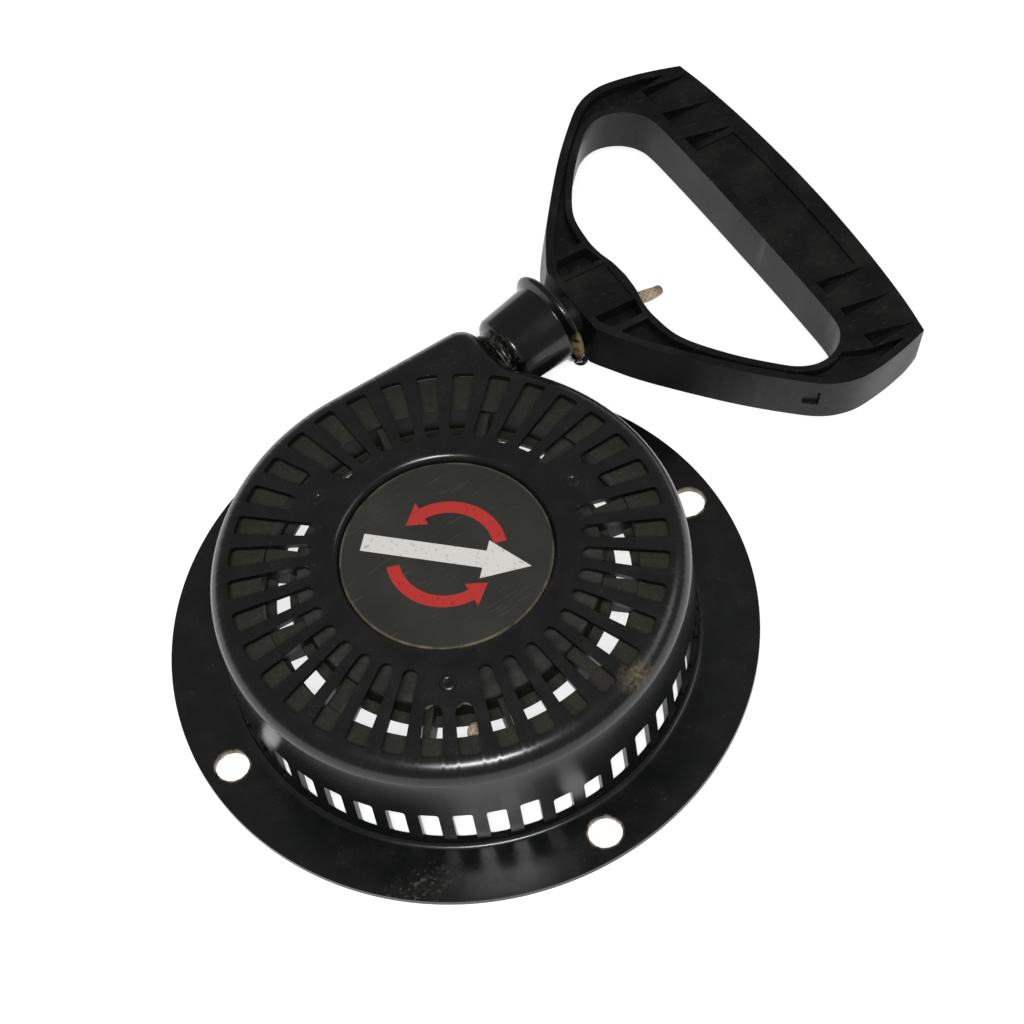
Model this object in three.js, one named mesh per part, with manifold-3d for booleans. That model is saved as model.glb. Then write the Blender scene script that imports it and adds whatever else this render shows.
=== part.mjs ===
// Recoil starter: a pressed-steel bell housing with a large rope reel, a flat
// recoil spring, a two-pawl clutch, a rope guide cup and a loop handle.
// Millimetres, +Z up. The origin lies on the reel axis in the plane of the
// flange's underside. The rope leaves the reel towards +X, on the +Y side.
import * as THREE from 'three';
import { mergeVertices } from 'three/addons/utils/BufferGeometryUtils.js';
import Module from 'manifold-3d';

const wasm = await Module();
wasm.setup();

// ---- driving dimensions ---------------------------------------------------
const sheet = 2.0;                  // thickness of the pressed steel
const gap = 0.3;                    // clearance between touching pieces

const flangeRadius = 102;
const boltCircleRadius = 92;
const boltHoleRadius = 5.9;
const boltHoleCount = 4;

const wallRadius = 81;              // outside of the bell's side wall
const rimHeight = 51.6;             // top of the bell where its shoulder starts
const crownHeight = 57;             // top of the flat ring round the label
const shoulderRadius = 8;
const crownFlatRadius = 45;         // the crown slopes down outside this
const crownOuterRadius = 74.6;
const recessRadius = 36.5;
const recessDepth = 3;

const slotCount = 36;
const slotInnerRadius = 45.3;
const slotShortRadius = 56.5;       // inner end of the slots beside a rivet
const slotOuterRadius = 74.8;
const slotHalfAngle = THREE.MathUtils.degToRad(3.0);
const rivetCircleRadius = 49.2;
const rivetRadius = 2.5;
const rivetAngles = [0, 120, 240];

const windowPitch = 8;              // degrees
const windowPhase = -91.6;          // degrees, centre of the pair of short windows
const windowWidth = 6.7;
const windowBottom = 4;
const windowTop = 23.2;
const windowShortTop = 18.5;
const noseStartAngle = 38;          // no windows where the rope nose is
const noseEndAngle = 92;

const guideYaw = THREE.MathUtils.degToRad(8);
const guideAxis = new THREE.Vector3(Math.cos(guideYaw), Math.sin(guideYaw), 0);
const noseDistance = 65.6;          // nose end wall, measured along guideAxis
const noseCornerRadius = 8;
const guidePoint = new THREE.Vector3(56.8, 67.6, 38);   // guide axis at the nose wall
const guideHoleRadius = 7.4;

const ropeRadius = 2.3;
const grooveHeight = 38;            // middle of the rope groove above the flange
const grooveHalfWidth = 5;
const grooveFloorRadius = 64.5;
const reelRadius = 77;
const reelWall = 2;
const windingRadius = 72;
const wellRadius = 49.5;            // spring well inside the reel
const spokeCount = 12;
const spokePhase = 20;              // degrees
const spokeWidth = 6;
const spokeHeight = 7;

const postRadius = 7;
const pawlPivotRadius = 27;
const pawlPinRadius = 2;
const pawlPinAngle = THREE.MathUtils.degToRad(-33.7);
const pawlPinCircle = 21.6;
const pawlSwing = THREE.MathUtils.degToRad(25);
const retainerSwing = THREE.MathUtils.degToRad(20);

const handleOrigin = new THREE.Vector3(83.2, 68.3, 39.2);
const handleYaw = THREE.MathUtils.degToRad(3.5);
const handlePitch = THREE.MathUtils.degToRad(12.5);      // the grip end droops
const handleRoll = THREE.MathUtils.degToRad(2);
const handleHalfThickness = 9;

// ---- tools for closed solids ----------------------------------------------
function closedMesh(geometry) {
  const bare = geometry.index ? geometry.toNonIndexed() : geometry.clone();
  bare.deleteAttribute('normal');
  bare.deleteAttribute('uv');
  const merged = mergeVertices(bare, 1e-4);
  const index = merged.index.array;
  const kept = [];
  for (let i = 0; i < index.length; i += 3) {
    const [a, b, c] = [index[i], index[i + 1], index[i + 2]];
    if (a !== b && b !== c && c !== a) kept.push(a, b, c);
  }
  const position = merged.attributes.position;
  let volume = 0;
  const [p, q, r] = [new THREE.Vector3(), new THREE.Vector3(), new THREE.Vector3()];
  for (let i = 0; i < kept.length; i += 3) {
    p.fromBufferAttribute(position, kept[i]);
    q.fromBufferAttribute(position, kept[i + 1]);
    r.fromBufferAttribute(position, kept[i + 2]);
    volume += p.dot(q.cross(r));
  }
  if (volume < 0) kept.reverse();
  return { vertices: new Float32Array(position.array), triangles: new Uint32Array(kept) };
}

function solid(geometry) {
  const { vertices, triangles } = closedMesh(geometry);
  const mesh = new wasm.Mesh({ numProp: 3, vertProperties: vertices, triVerts: triangles });
  return new wasm.Manifold(mesh);
}

function toGeometry(body) {
  const mesh = body.getMesh();
  const geometry = new THREE.BufferGeometry();
  geometry.setAttribute('position', new THREE.BufferAttribute(mesh.vertProperties, 3));
  geometry.setIndex(new THREE.BufferAttribute(mesh.triVerts, 1));
  geometry.computeVertexNormals();
  return geometry;
}

function unite(bodies) {
  return bodies.reduce((whole, body) => whole.add(body));
}

// A solid of revolution about Z. The profile is a list of [radius, height].
function turned(profile, segments = 48) {
  const points = profile.map(([radius, height]) => new THREE.Vector2(radius, height));
  points.push(points[0].clone());
  return solid(new THREE.LatheGeometry(points, segments).rotateX(Math.PI / 2));
}

function ring(inner, outer, bottom, top, segments = 48) {
  return turned([[inner, bottom], [outer, bottom], [outer, top], [inner, top]], segments);
}

function disc(radius, bottom, top, segments = 48) {
  const geometry = new THREE.CylinderGeometry(radius, radius, top - bottom, segments);
  return solid(geometry.rotateX(Math.PI / 2).translate(0, 0, (top + bottom) / 2));
}

function block(sizeX, sizeY, sizeZ, x, y, z) {
  return solid(new THREE.BoxGeometry(sizeX, sizeY, sizeZ).translate(x, y, z));
}

function plate(points, bottom, top, bevel) {
  const settings = { depth: top - bottom, bevelEnabled: false, steps: 1, ...bevel };
  const geometry = new THREE.ExtrudeGeometry(new THREE.Shape(points), settings);
  return solid(geometry.translate(0, 0, bottom));
}

function arc(x, y, radius, from, to, steps) {
  const points = [];
  for (let i = 0; i <= steps; i += 1) {
    const angle = from + (to - from) * i / steps;
    points.push(new THREE.Vector2(x + radius * Math.cos(angle), y + radius * Math.sin(angle)));
  }
  return points;
}

// Turns a body built along +Z so that it runs from a point along a direction.
function aim(body, point, direction) {
  const turn = new THREE.Quaternion().setFromUnitVectors(new THREE.Vector3(0, 0, 1), direction);
  const matrix = new THREE.Matrix4().compose(point, turn, new THREE.Vector3(1, 1, 1));
  return body.transform(matrix.elements);
}

function polar(radius, degrees) {
  const angle = THREE.MathUtils.degToRad(degrees);
  return [radius * Math.cos(angle), radius * Math.sin(angle)];
}

const group = new THREE.Group();

function addPart(name, body, color, roughness, metalness) {
  const material = new THREE.MeshStandardMaterial({ color, roughness, metalness });
  const mesh = new THREE.Mesh(toGeometry(body), material);
  mesh.name = name;
  group.add(mesh);
}

// ---- housing --------------------------------------------------------------
// The bell's outline seen from above: a circle with the rope nose, which runs
// out along the tangent and ends square to the guide's axis.
function bellOutline(inset) {
  const radius = wallRadius - inset;
  const end = noseDistance - inset;
  const junction = guideYaw + Math.acos(end / radius);
  const corner = Math.max(noseCornerRadius - inset, 1);
  const centreY = radius - corner;
  const centreX = (end - corner - centreY * guideAxis.y) / guideAxis.x;
  return [
    ...arc(0, 0, radius, Math.PI / 2, 2 * Math.PI + junction, 64),
    ...arc(centreX, centreY, corner, guideYaw, Math.PI / 2, 4),
  ];
}

function bellForm(inset, top) {
  const radius = shoulderRadius - inset;
  const bevel = { bevelEnabled: true, bevelThickness: radius, bevelSize: radius, bevelSegments: 3 };
  const start = -20;
  return plate(bellOutline(shoulderRadius), start, top - radius, bevel);
}

function slotCutter(inner, degrees) {
  const innerHalf = inner * Math.sin(slotHalfAngle);
  const outerHalf = slotOuterRadius * Math.sin(slotHalfAngle);
  const nip = 1.4;
  const points = [
    ...arc(inner + innerHalf, 0, innerHalf, 1.5 * Math.PI, 0.5 * Math.PI, 3),
    new THREE.Vector2(slotOuterRadius - nip, outerHalf),
    new THREE.Vector2(slotOuterRadius, outerHalf - nip),
    new THREE.Vector2(slotOuterRadius, nip - outerHalf),
    new THREE.Vector2(slotOuterRadius - nip, -outerHalf),
  ];
  return plate(points, rimHeight - 6, crownHeight + 3).rotate([0, 0, degrees]);
}

function buildHousing() {
  const floor = crownHeight - recessDepth;
  const crown = turned([
    [0, floor - sheet], [recessRadius + sheet, floor - sheet],
    [recessRadius + sheet, crownHeight - sheet], [crownFlatRadius, crownHeight - sheet],
    [crownOuterRadius, rimHeight - sheet], [crownOuterRadius, rimHeight],
    [crownFlatRadius, crownHeight], [recessRadius + 0.8, crownHeight],
    [recessRadius, crownHeight - 0.8], [recessRadius, floor], [0, floor],
  ], 48);
  const inside = plate(bellOutline(sheet), -1, sheet + 1);
  const flange = disc(flangeRadius, 0, sheet, 72).subtract(inside);
  const aboveGround = block(300, 300, 100, 0, 0, 50);
  const shell = bellForm(0, rimHeight)
    .subtract(bellForm(sheet, rimHeight - sheet))
    .intersect(aboveGround)
    .subtract(disc(crownOuterRadius - 1, rimHeight - 6, rimHeight + 1, 48));
  let housing = unite([shell, crown, flange]);

  const cutters = [];
  for (let i = 0; i < slotCount; i += 1) {
    const degrees = (i + 0.5) * 360 / slotCount;
    const besideRivet = rivetAngles.some((angle) => Math.abs((degrees - angle + 540) % 360 - 180) < 6);
    cutters.push(slotCutter(besideRivet ? slotShortRadius : slotInnerRadius, degrees));
  }
  for (let i = 0; i < 360 / windowPitch; i += 1) {
    const degrees = (windowPhase + (i + 0.5) * windowPitch + 720) % 360;
    const inNose = degrees > noseStartAngle && degrees < noseEndAngle;
    const besideBolt = [0, 180, 270].some((angle) => Math.abs((degrees - angle + 540) % 360 - 180) < 6.5);
    const top = besideBolt ? windowShortTop : windowTop;
    if (!inNose) {
      const opening = block(10, windowWidth, top - windowBottom, wallRadius - 1, 0, (top + windowBottom) / 2);
      cutters.push(opening.rotate([0, 0, degrees]));
    }
  }
  for (let i = 0; i < boltHoleCount; i += 1) {
    const [x, y] = polar(boltCircleRadius, i * 360 / boltHoleCount);
    cutters.push(disc(boltHoleRadius, -1, sheet + 1, 16).translate([x, y, 0]));
  }
  for (const angle of rivetAngles) {
    const [x, y] = polar(rivetCircleRadius, angle);
    cutters.push(disc(rivetRadius + gap, rimHeight - 4, crownHeight + 1, 12).translate([x, y, 0]));
  }
  const guideHole = disc(guideHoleRadius, -8, 8, 24);
  cutters.push(aim(guideHole, guidePoint, guideAxis));
  for (const cutter of cutters) housing = housing.subtract(cutter);
  return housing;
}

addPart('housing', buildHousing(), 0x17181a, 0.45, 0.3);

const labelBottom = crownHeight - recessDepth + gap;
addPart('label_disc', disc(recessRadius - 0.6, labelBottom, labelBottom + 0.6, 64), 0x24231f, 0.55, 0);

// ---- spindle: bracket, rivets and post ------------------------------------
const bracketBottom = 48.6;
const bracketTop = bracketBottom + sheet;
const bracketHubRadius = 26;
const bracketArmWidth = 12;
const padRadius = 6;
const padTop = 52.6;
const rivetTop = 55.5;
const postNeckRadius = 4.7;
const postHeadRadius = 7.5;

function buildBracket() {
  const pieces = [disc(bracketHubRadius, bracketBottom, bracketTop, 32)];
  for (const angle of rivetAngles) {
    const [x, y] = polar(rivetCircleRadius, angle);
    const arm = block(rivetCircleRadius, bracketArmWidth, sheet,
      rivetCircleRadius / 2, 0, (bracketBottom + bracketTop) / 2);
    pieces.push(arm.rotate([0, 0, angle]));
    pieces.push(disc(padRadius, bracketBottom, padTop, 20).translate([x, y, 0]));
  }
  let bracket = unite(pieces);
  for (const angle of rivetAngles) {
    const [x, y] = polar(rivetCircleRadius, angle);
    bracket = bracket.subtract(disc(rivetRadius + gap, bracketBottom - 1, padTop + 1, 12).translate([x, y, 0]));
  }
  return bracket.subtract(disc(postNeckRadius + gap, bracketBottom - 1, bracketTop + 1, 24));
}

addPart('spindle_bracket', buildBracket(), 0x8a8c8e, 0.4, 0.9);

function buildRivet(angle) {
  const [x, y] = polar(rivetCircleRadius, angle);
  const rivet = turned([
    [0, bracketBottom - 1.6], [3.6, bracketBottom - 1.6], [4.4, bracketBottom - gap],
    [rivetRadius, bracketBottom - gap], [rivetRadius, rivetTop], [1.6, rivetTop - 0.5], [0, rivetTop - 0.5],
  ], 16);
  return rivet.translate([x, y, 0]);
}

rivetAngles.forEach((angle, i) => addPart(`rivet_${i + 1}`, buildRivet(angle), 0x1c1d1f, 0.4, 0.5));

const postBottom = 22.9;
const screwRadius = 3;
addPart('spindle_post', turned([
  [screwRadius + gap, postBottom], [postRadius, postBottom], [postRadius, bracketBottom - gap],
  [postNeckRadius, bracketBottom - gap], [postNeckRadius, bracketTop + gap],
  [postHeadRadius, bracketTop + gap], [postHeadRadius, bracketTop + 1.1], [screwRadius + gap, bracketTop + 1.1],
], 28), 0xa9abad, 0.3, 1);

// ---- rope guide -----------------------------------------------------------
// Profiles are [radius, distance along the guide's axis from the nose wall].
const cupSmallRadius = 13.8;
const cupLargeRadius = 15;
const cupRimRadius = 18.2;
const cupRimDistance = 26;
const cupFloor = 8;
const cupBore = 3.8;

const guideCup = turned([
  [cupBore, -7], [7, -7], [7, gap], [10.2, gap], [10.2, 3.2], [11.8, 3.6], [13.2, 4.5],
  [cupSmallRadius, 5.9], [cupLargeRadius, cupRimDistance - 1.8], [16.8, cupRimDistance - 1.4],
  [cupRimRadius, cupRimDistance], [17.6, cupRimDistance + 1.5], [16.2, cupRimDistance + 1.8],
  [14.4, cupRimDistance + 0.6], [13.4, cupRimDistance - 2.5], [11, cupFloor + 2],
  [cupBore + 1.5, cupFloor], [cupBore, cupFloor - 1.5],
], 24);
addPart('guide_cup', aim(guideCup, guidePoint, guideAxis), 0x0d0e0f, 0.25, 0);

const guideClip = ring(7.3, 9.2, -6, -4, 24);
addPart('guide_clip', aim(guideClip, guidePoint, guideAxis), 0x9a9c9e, 0.35, 1);

// ---- reel -----------------------------------------------------------------
const grooveBottom = grooveHeight - grooveHalfWidth;
const grooveTop = grooveHeight + grooveHalfWidth;
const reelBottom = grooveBottom - reelWall;
const reelTop = grooveTop + reelWall;
const hubRadius = 11;
const pawlPostRadius = 3;
const pawlPostBottom = 22.8;
const anchorAngle = 248;            // where the rope is knotted to the rim

function buildReel() {
  const rim = turned([
    [grooveFloorRadius - reelWall, reelBottom], [reelRadius, reelBottom], [reelRadius, grooveBottom],
    [grooveFloorRadius, grooveBottom], [grooveFloorRadius, grooveTop], [reelRadius, grooveTop],
    [reelRadius, reelTop], [grooveFloorRadius - reelWall, reelTop],
  ], 56);
  const well = turned([
    [postRadius + 0.5, postBottom + 1.6], [hubRadius, postBottom + 1.6], [hubRadius, reelBottom],
    [wellRadius + reelWall, reelBottom], [wellRadius + reelWall, reelTop], [wellRadius, reelTop],
    [wellRadius, grooveBottom], [postRadius + 0.5, grooveBottom],
  ], 36);
  const pieces = [rim, well];
  const spokeFrom = wellRadius + 1;
  const spokeTo = grooveFloorRadius - 1;
  for (let i = 0; i < spokeCount; i += 1) {
    const spoke = block(spokeTo - spokeFrom, spokeWidth, spokeHeight,
      (spokeFrom + spokeTo) / 2, 0, reelBottom + spokeHeight / 2);
    pieces.push(spoke.rotate([0, 0, spokePhase + i * 360 / spokeCount]));
  }
  for (const side of [0, 180]) {
    const [x, y] = polar(pawlPivotRadius, side);
    pieces.push(disc(pawlPostRadius, pawlPostBottom, reelBottom + 1, 16).translate([x, y, 0]));
  }
  const anchorHole = disc(ropeRadius + 0.5, grooveFloorRadius - 4, grooveFloorRadius + 2, 12);
  const [x, y] = polar(1, anchorAngle);
  return unite(pieces).subtract(
    aim(anchorHole, new THREE.Vector3(0, 0, grooveHeight), new THREE.Vector3(x, y, 0)));
}

addPart('reel', buildReel(), 0x35342f, 0.6, 0);

const coverBottom = reelTop + gap;
addPart('spring_cover', ring(9.5, wellRadius + reelWall, coverBottom, coverBottom + 1, 36), 0x3b3a35, 0.5, 0.6);

// The recoil spring is one flat spiral band, wound from the post outwards.
function buildSpring() {
  const band = 0.7;
  const turns = 6;
  const stepsPerTurn = 18;
  const from = postRadius + 1.2;
  const to = wellRadius - 0.8;
  const inner = [];
  const outer = [];
  for (let i = 0; i <= turns * stepsPerTurn; i += 1) {
    const share = i / (turns * stepsPerTurn);
    const angle = share * turns * 2 * Math.PI;
    const radius = from + (to - from) * share;
    inner.push(new THREE.Vector2(radius * Math.cos(angle), radius * Math.sin(angle)));
    const far = radius + band;
    outer.push(new THREE.Vector2(far * Math.cos(angle), far * Math.sin(angle)));
  }
  return plate([...inner, ...outer.reverse()], grooveBottom + 0.6, reelTop - 0.8);
}

addPart('recoil_spring', buildSpring(), 0x6f7174, 0.3, 1);

// ---- rope -----------------------------------------------------------------
const ropeColor = 0xa8927a;
addPart('rope_winding', ring(grooveFloorRadius + gap, windingRadius, grooveBottom + gap, grooveTop - gap, 56),
  ropeColor, 0.9, 0);

function rope(points, sides = 10) {
  const curve = new THREE.CatmullRomCurve3(points, false, 'centripetal');
  const section = arc(0, 0, ropeRadius, 0, 2 * Math.PI * (1 - 1 / sides), sides - 1);
  const steps = Math.max(2, Math.round(curve.getLength() / (ropeRadius * 4)));
  const settings = { steps, extrudePath: curve, bevelEnabled: false };
  return solid(new THREE.ExtrudeGeometry(new THREE.Shape(section), settings));
}

// The knot that anchors the rope inside the reel's rim.
const [anchorX, anchorY] = polar(1, anchorAngle);
const anchorKnot = turned([
  [0, 56.5], [2.6, 56.9], [3.9, 58.4], [3.9, 60.4], [2.9, 61.9], [ropeRadius, 62.2],
  [ropeRadius, grooveFloorRadius - 0.2], [0, grooveFloorRadius - 0.2],
], 14);
addPart('rope_anchor_knot', aim(anchorKnot, new THREE.Vector3(0, 0, grooveHeight),
  new THREE.Vector3(anchorX, anchorY, 0)), ropeColor, 0.9, 0);

// ---- handle ---------------------------------------------------------------
// Built in its own frame: x runs from the rope guide to the grip, y is across
// and z through its thickness. Outline points are [x, half width].
const handleSide = [
  [5.5, 15], [8.6, 20], [18, 33], [38, 55], [58.8, 72.5], [68, 77], [82, 75], [106.4, 73.3],
];
const gripEdge = [[109.2, 40], [112.5, 0]];
const loopSide = [
  [28.6, 6], [27, 20], [28, 33.5], [40, 48], [56, 63], [63, 66], [73, 65], [80, 60], [81.6, 54],
];
const hubNose = -4;
const knotFrom = 12;
const handleBore = 2.8;
const knotBore = 5.6;

function mirrored(side, middle = []) {
  const upper = side.map(([x, y]) => new THREE.Vector2(x, y));
  const lower = side.map(([x, y]) => new THREE.Vector2(x, -y)).reverse();
  const across = middle.map(([x, y]) => new THREE.Vector2(x, y));
  const back = middle.filter(([, y]) => y > 0).map(([x, y]) => new THREE.Vector2(x, -y)).reverse();
  return [...upper, ...across, ...back, ...lower];
}

function placeHandle(body) {
  const turn = new THREE.Matrix4().makeRotationFromEuler(
    new THREE.Euler(handleRoll, handlePitch, handleYaw, 'ZYX'));
  return body.transform(turn.setPosition(handleOrigin).elements);
}

function buildHandle() {
  const half = handleHalfThickness;
  const outline = plate(mirrored(handleSide, gripEdge), -half, half);
  const loop = plate(mirrored(loopSide), -half - 1, half + 1);
  const sideView = [
    [-10, half + 1], [114, half + 1], [114, half - 3], [108, -5], [103, -half], [-10, -half],
  ].map(([x, z]) => new THREE.Vector2(x, z));
  const profile = plate(sideView, -100, 100).rotate([90, 0, 0]);
  const along = new THREE.Vector3(1, 0, 0);
  const start = new THREE.Vector3();
  const nose = aim(turned([[0, hubNose], [7.6, hubNose], [8.4, hubNose + 1.2], [8.8, 7], [0, 7]], 24),
    start, along);
  const bore = aim(disc(handleBore, hubNose - 2, 40, 16), start, along);
  const knotRoom = aim(disc(knotBore, knotFrom, 40, 20), start, along);
  return outline.intersect(profile).subtract(loop).add(nose).subtract(bore).subtract(knotRoom);
}

addPart('handle', placeHandle(buildHandle()), 0x141516, 0.5, 0);

// The rope's end inside the handle: bore, stopper knot and sealed tail.
const tailEnd = 42.5;
const tail = turned([
  [0, hubNose + gap], [ropeRadius, hubNose + gap], [ropeRadius, 14], [4.2, 15], [5, 17.5],
  [4.2, 20.5], [ropeRadius, 21.6], [ropeRadius, tailEnd - 1], [1.5, tailEnd], [0, tailEnd],
], 14);
addPart('rope_tail', placeHandle(aim(tail, new THREE.Vector3(), new THREE.Vector3(1, 0, 0))),
  ropeColor, 0.9, 0);

// The rope between the reel and the handle, through the guide.
const leadEndGap = 0.9;
const hubEntry = new THREE.Vector3(hubNose, 0, 0).applyEuler(
  new THREE.Euler(handleRoll, handlePitch, handleYaw, 'ZYX')).add(handleOrigin);
addPart('rope_lead', rope([
  new THREE.Vector3(31.5, 68.5, grooveHeight),
  new THREE.Vector3(44, 68.0, grooveHeight),
  new THREE.Vector3(56.8, 67.6, grooveHeight),
  new THREE.Vector3(64.6, 68.1, grooveHeight),
  hubEntry.clone().add(new THREE.Vector3(-leadEndGap, 0, 0)),
]), ropeColor, 0.9, 0);

// ---- pawl clutch under the reel -------------------------------------------
const pawlBottom = 25;
const pawlTop = 30.6;
const pawlEyeRadius = 5.6;

// The retainer's pin travels this path as seen from the pawl while both swing.
function pinPath(share) {
  const angle = pawlPinAngle + retainerSwing * share;
  const pin = new THREE.Vector2(pawlPinCircle * Math.cos(angle), pawlPinCircle * Math.sin(angle));
  pin.x -= pawlPivotRadius;
  return pin.rotateAround(new THREE.Vector2(), -pawlSwing * share);
}

function buildPawl(side) {
  const outline = [
    ...arc(0, 0, pawlEyeRadius, -0.1 * Math.PI, 0.75 * Math.PI, 7),
    new THREE.Vector2(-12.2, 1.5), new THREE.Vector2(-13.2, -13), new THREE.Vector2(-12, -24),
    new THREE.Vector2(-8, -28.5), new THREE.Vector2(-2.4, -27), new THREE.Vector2(1.4, -16),
  ];
  let pawl = plate(outline, pawlBottom, pawlTop).subtract(disc(pawlPostRadius + 0.35, 20, 35, 16));
  const stops = 6;
  for (let i = 0; i <= stops; i += 1) {
    const { x, y } = pinPath(i / stops);
    pawl = pawl.subtract(disc(pawlPinRadius + 0.45, 20, 35, 14).translate([x, y, 0]));
  }
  return pawl.translate([pawlPivotRadius, 0, 0]).rotate([0, 0, side]);
}

function buildPawlSpring(side) {
  const coil = ring(pawlPostRadius + 0.4, pawlPostRadius + 1.5, 23, 24.7, 20);
  const leg = block(1.1, 6.5, 1.1, -3, -6.25, 23.9);
  const spring = coil.add(leg).translate([pawlPivotRadius, 0, 0]);
  return spring.rotate([0, 0, side]);
}

[0, 180].forEach((side, i) => {
  addPart(`pawl_${i + 1}`, buildPawl(side), 0x77797c, 0.4, 1);
  addPart(`pawl_spring_${i + 1}`, buildPawlSpring(side), 0xb9bbbd, 0.3, 1);
});

const retainerBottom = 20.4;
const retainerTop = 22.4;
const retainerRadius = 31;
function buildRetainer() {
  const pieces = [disc(retainerRadius, retainerBottom, retainerTop, 36)];
  for (const side of [0, 180]) {
    const pinDegrees = THREE.MathUtils.radToDeg(pawlPinAngle) + side;
    const [x, y] = polar(pawlPinCircle, pinDegrees);
    pieces.push(disc(pawlPinRadius, retainerTop - 1, pawlTop - 0.6, 14).translate([x, y, 0]));
  }
  return unite(pieces).subtract(disc(screwRadius + 0.5, 0, 40, 20));
}

addPart('pawl_retainer', buildRetainer(), 0x8f9194, 0.35, 1);
addPart('brake_spring', ring(screwRadius + 1.2, 6.2, 17.5, retainerBottom - gap, 24), 0xb9bbbd, 0.3, 1);
addPart('brake_washer', ring(screwRadius + gap, 8.5, 16.2, 17.2, 28), 0xb9bbbd, 0.3, 1);

const headBottom = 11;
const pinRadius = 3;
const pinSpigot = 1.7;
const screw = turned([
  [pinSpigot + gap, headBottom], [6.2, headBottom], [6.5, headBottom + 1], [6.5, 15.9],
  [screwRadius, 15.9], [screwRadius, 46], [0, 46], [0, 20], [pinSpigot + gap, 20],
], 24);
addPart('centre_screw', screw, 0xa9abad, 0.3, 1);
addPart('centring_pin', turned([
  [0, 0], [pinRadius - 0.5, 0], [pinRadius, 0.8], [pinRadius, headBottom - gap],
  [pinSpigot, headBottom - gap], [pinSpigot, 19.5], [0, 19.5],
], 20), 0x8a8c8e, 0.35, 1);

export default group;
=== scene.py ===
import math
import random

import bmesh
import bpy
from mathutils import Matrix, Quaternion, Vector


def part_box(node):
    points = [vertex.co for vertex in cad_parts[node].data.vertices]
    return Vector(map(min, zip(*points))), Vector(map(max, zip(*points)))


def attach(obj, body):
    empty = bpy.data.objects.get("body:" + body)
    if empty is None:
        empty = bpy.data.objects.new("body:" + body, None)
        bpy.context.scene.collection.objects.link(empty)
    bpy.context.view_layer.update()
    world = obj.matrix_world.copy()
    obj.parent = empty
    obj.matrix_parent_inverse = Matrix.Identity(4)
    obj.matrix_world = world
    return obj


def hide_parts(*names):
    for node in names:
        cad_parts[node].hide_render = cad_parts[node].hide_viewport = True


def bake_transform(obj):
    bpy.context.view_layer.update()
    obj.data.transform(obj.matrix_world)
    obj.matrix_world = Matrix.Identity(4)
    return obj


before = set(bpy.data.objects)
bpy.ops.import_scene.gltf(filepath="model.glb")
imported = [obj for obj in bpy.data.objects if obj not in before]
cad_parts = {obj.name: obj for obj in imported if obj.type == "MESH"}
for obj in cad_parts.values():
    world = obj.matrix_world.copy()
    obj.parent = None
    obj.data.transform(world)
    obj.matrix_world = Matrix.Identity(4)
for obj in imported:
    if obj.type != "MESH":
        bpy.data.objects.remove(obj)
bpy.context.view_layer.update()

# Recoil starter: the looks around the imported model. Lengths here are in millimetres, and are
# turned to metres where a mesh is made. The frame is the model's: +Z is the reel's axis, the
# flange's underside is at z = 0 and the rope leaves towards +X on the +Y side.
MM = 0.001


def cad(node):
    """Lowest and highest corner of a CAD node, in millimetres."""
    low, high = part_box(node)
    return low / MM, high / MM


# ---- driving dimensions, from the frame and from the pressing itself ---------
SHEET = 2.0
FLANGE_RADIUS = cad("housing")[1].x
CROWN_HEIGHT = cad("housing")[1].z
WALL_RADIUS = 81.0
SHOULDER_RADIUS = 8.0
WALL_TOP = 43.6                      # where the wall ends and the shoulder starts
CROWN_BREAK = 45.0                   # the crown is flat inside this and slopes outside it
CROWN_SLOPE = 0.188
CROWN_BLEND = 4.0                    # width of the soft bend between the two
RECESS_RADIUS = 36.3
RECESS_DEPTH = 3.0
SLOT_COUNT = 36
SLOT_PITCH = 360 / SLOT_COUNT
SLOT_HALF_ANGLE = 3.0                # degrees
SLOT_INNER = 45.3
SLOT_SHORT = 56.5                    # inner end of the slots beside a rivet
SLOT_OUTER = 74.2
SLOT_CORNER = 1.4
RIVET_CIRCLE = 49.2
RIVET_ANGLES = (0, 120, 240)
WINDOW_PITCH = 8.0                   # degrees
WINDOW_PHASE = -91.6
WINDOW_HALF = math.degrees(3.35 / WALL_RADIUS)
WINDOW_TOP = 23.2
WINDOW_SHORT_TOP = 18.5
WINDOW_BOTTOM = 4.6
WINDOW_CORNER = 1.0
FILLET_RADIUS = 2.2                  # between the wall and the flange
BOLT_CIRCLE = 92.0
BOLT_HOLE_RADIUS = 5.9
BOLT_ANGLES = (0, 90, 180, 270)

GUIDE_YAW = math.radians(8)
GUIDE_AXIS = Vector((math.cos(GUIDE_YAW), math.sin(GUIDE_YAW), 0))
GUIDE_SIDE = Vector((-GUIDE_AXIS.y, GUIDE_AXIS.x, 0))
GUIDE_POINT = Vector((56.8, 67.6, 38))
NOSE_DISTANCE = 65.6                 # nose end wall, measured along GUIDE_AXIS
NOSE_CORNER = 8.0
NOSE_FILLET = 4.0                    # where the nose's end wall meets the round wall

ROPE_RADIUS = 2.3
GROOVE_HEIGHT = sum(corner.z for corner in cad("rope_winding")) / 2
GROOVE_FLOOR = 64.5
REEL_RADIUS = cad("reel")[1].x
REEL_WALL = 2.0                      # of the spring well
REEL_TOP = cad("reel")[1].z

HANDLE_ORIGIN = Vector((83.2, 68.3, 39.2))
HANDLE_TURN = (Matrix.Rotation(math.radians(3.5), 4, "Z")
               @ Matrix.Rotation(math.radians(12.5), 4, "Y")
               @ Matrix.Rotation(math.radians(2.0), 4, "X"))
HANDLE_PLACE = Matrix.Translation(HANDLE_ORIGIN) @ HANDLE_TURN
HANDLE_HALF = 9.0                    # half of the handle's thickness


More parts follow.
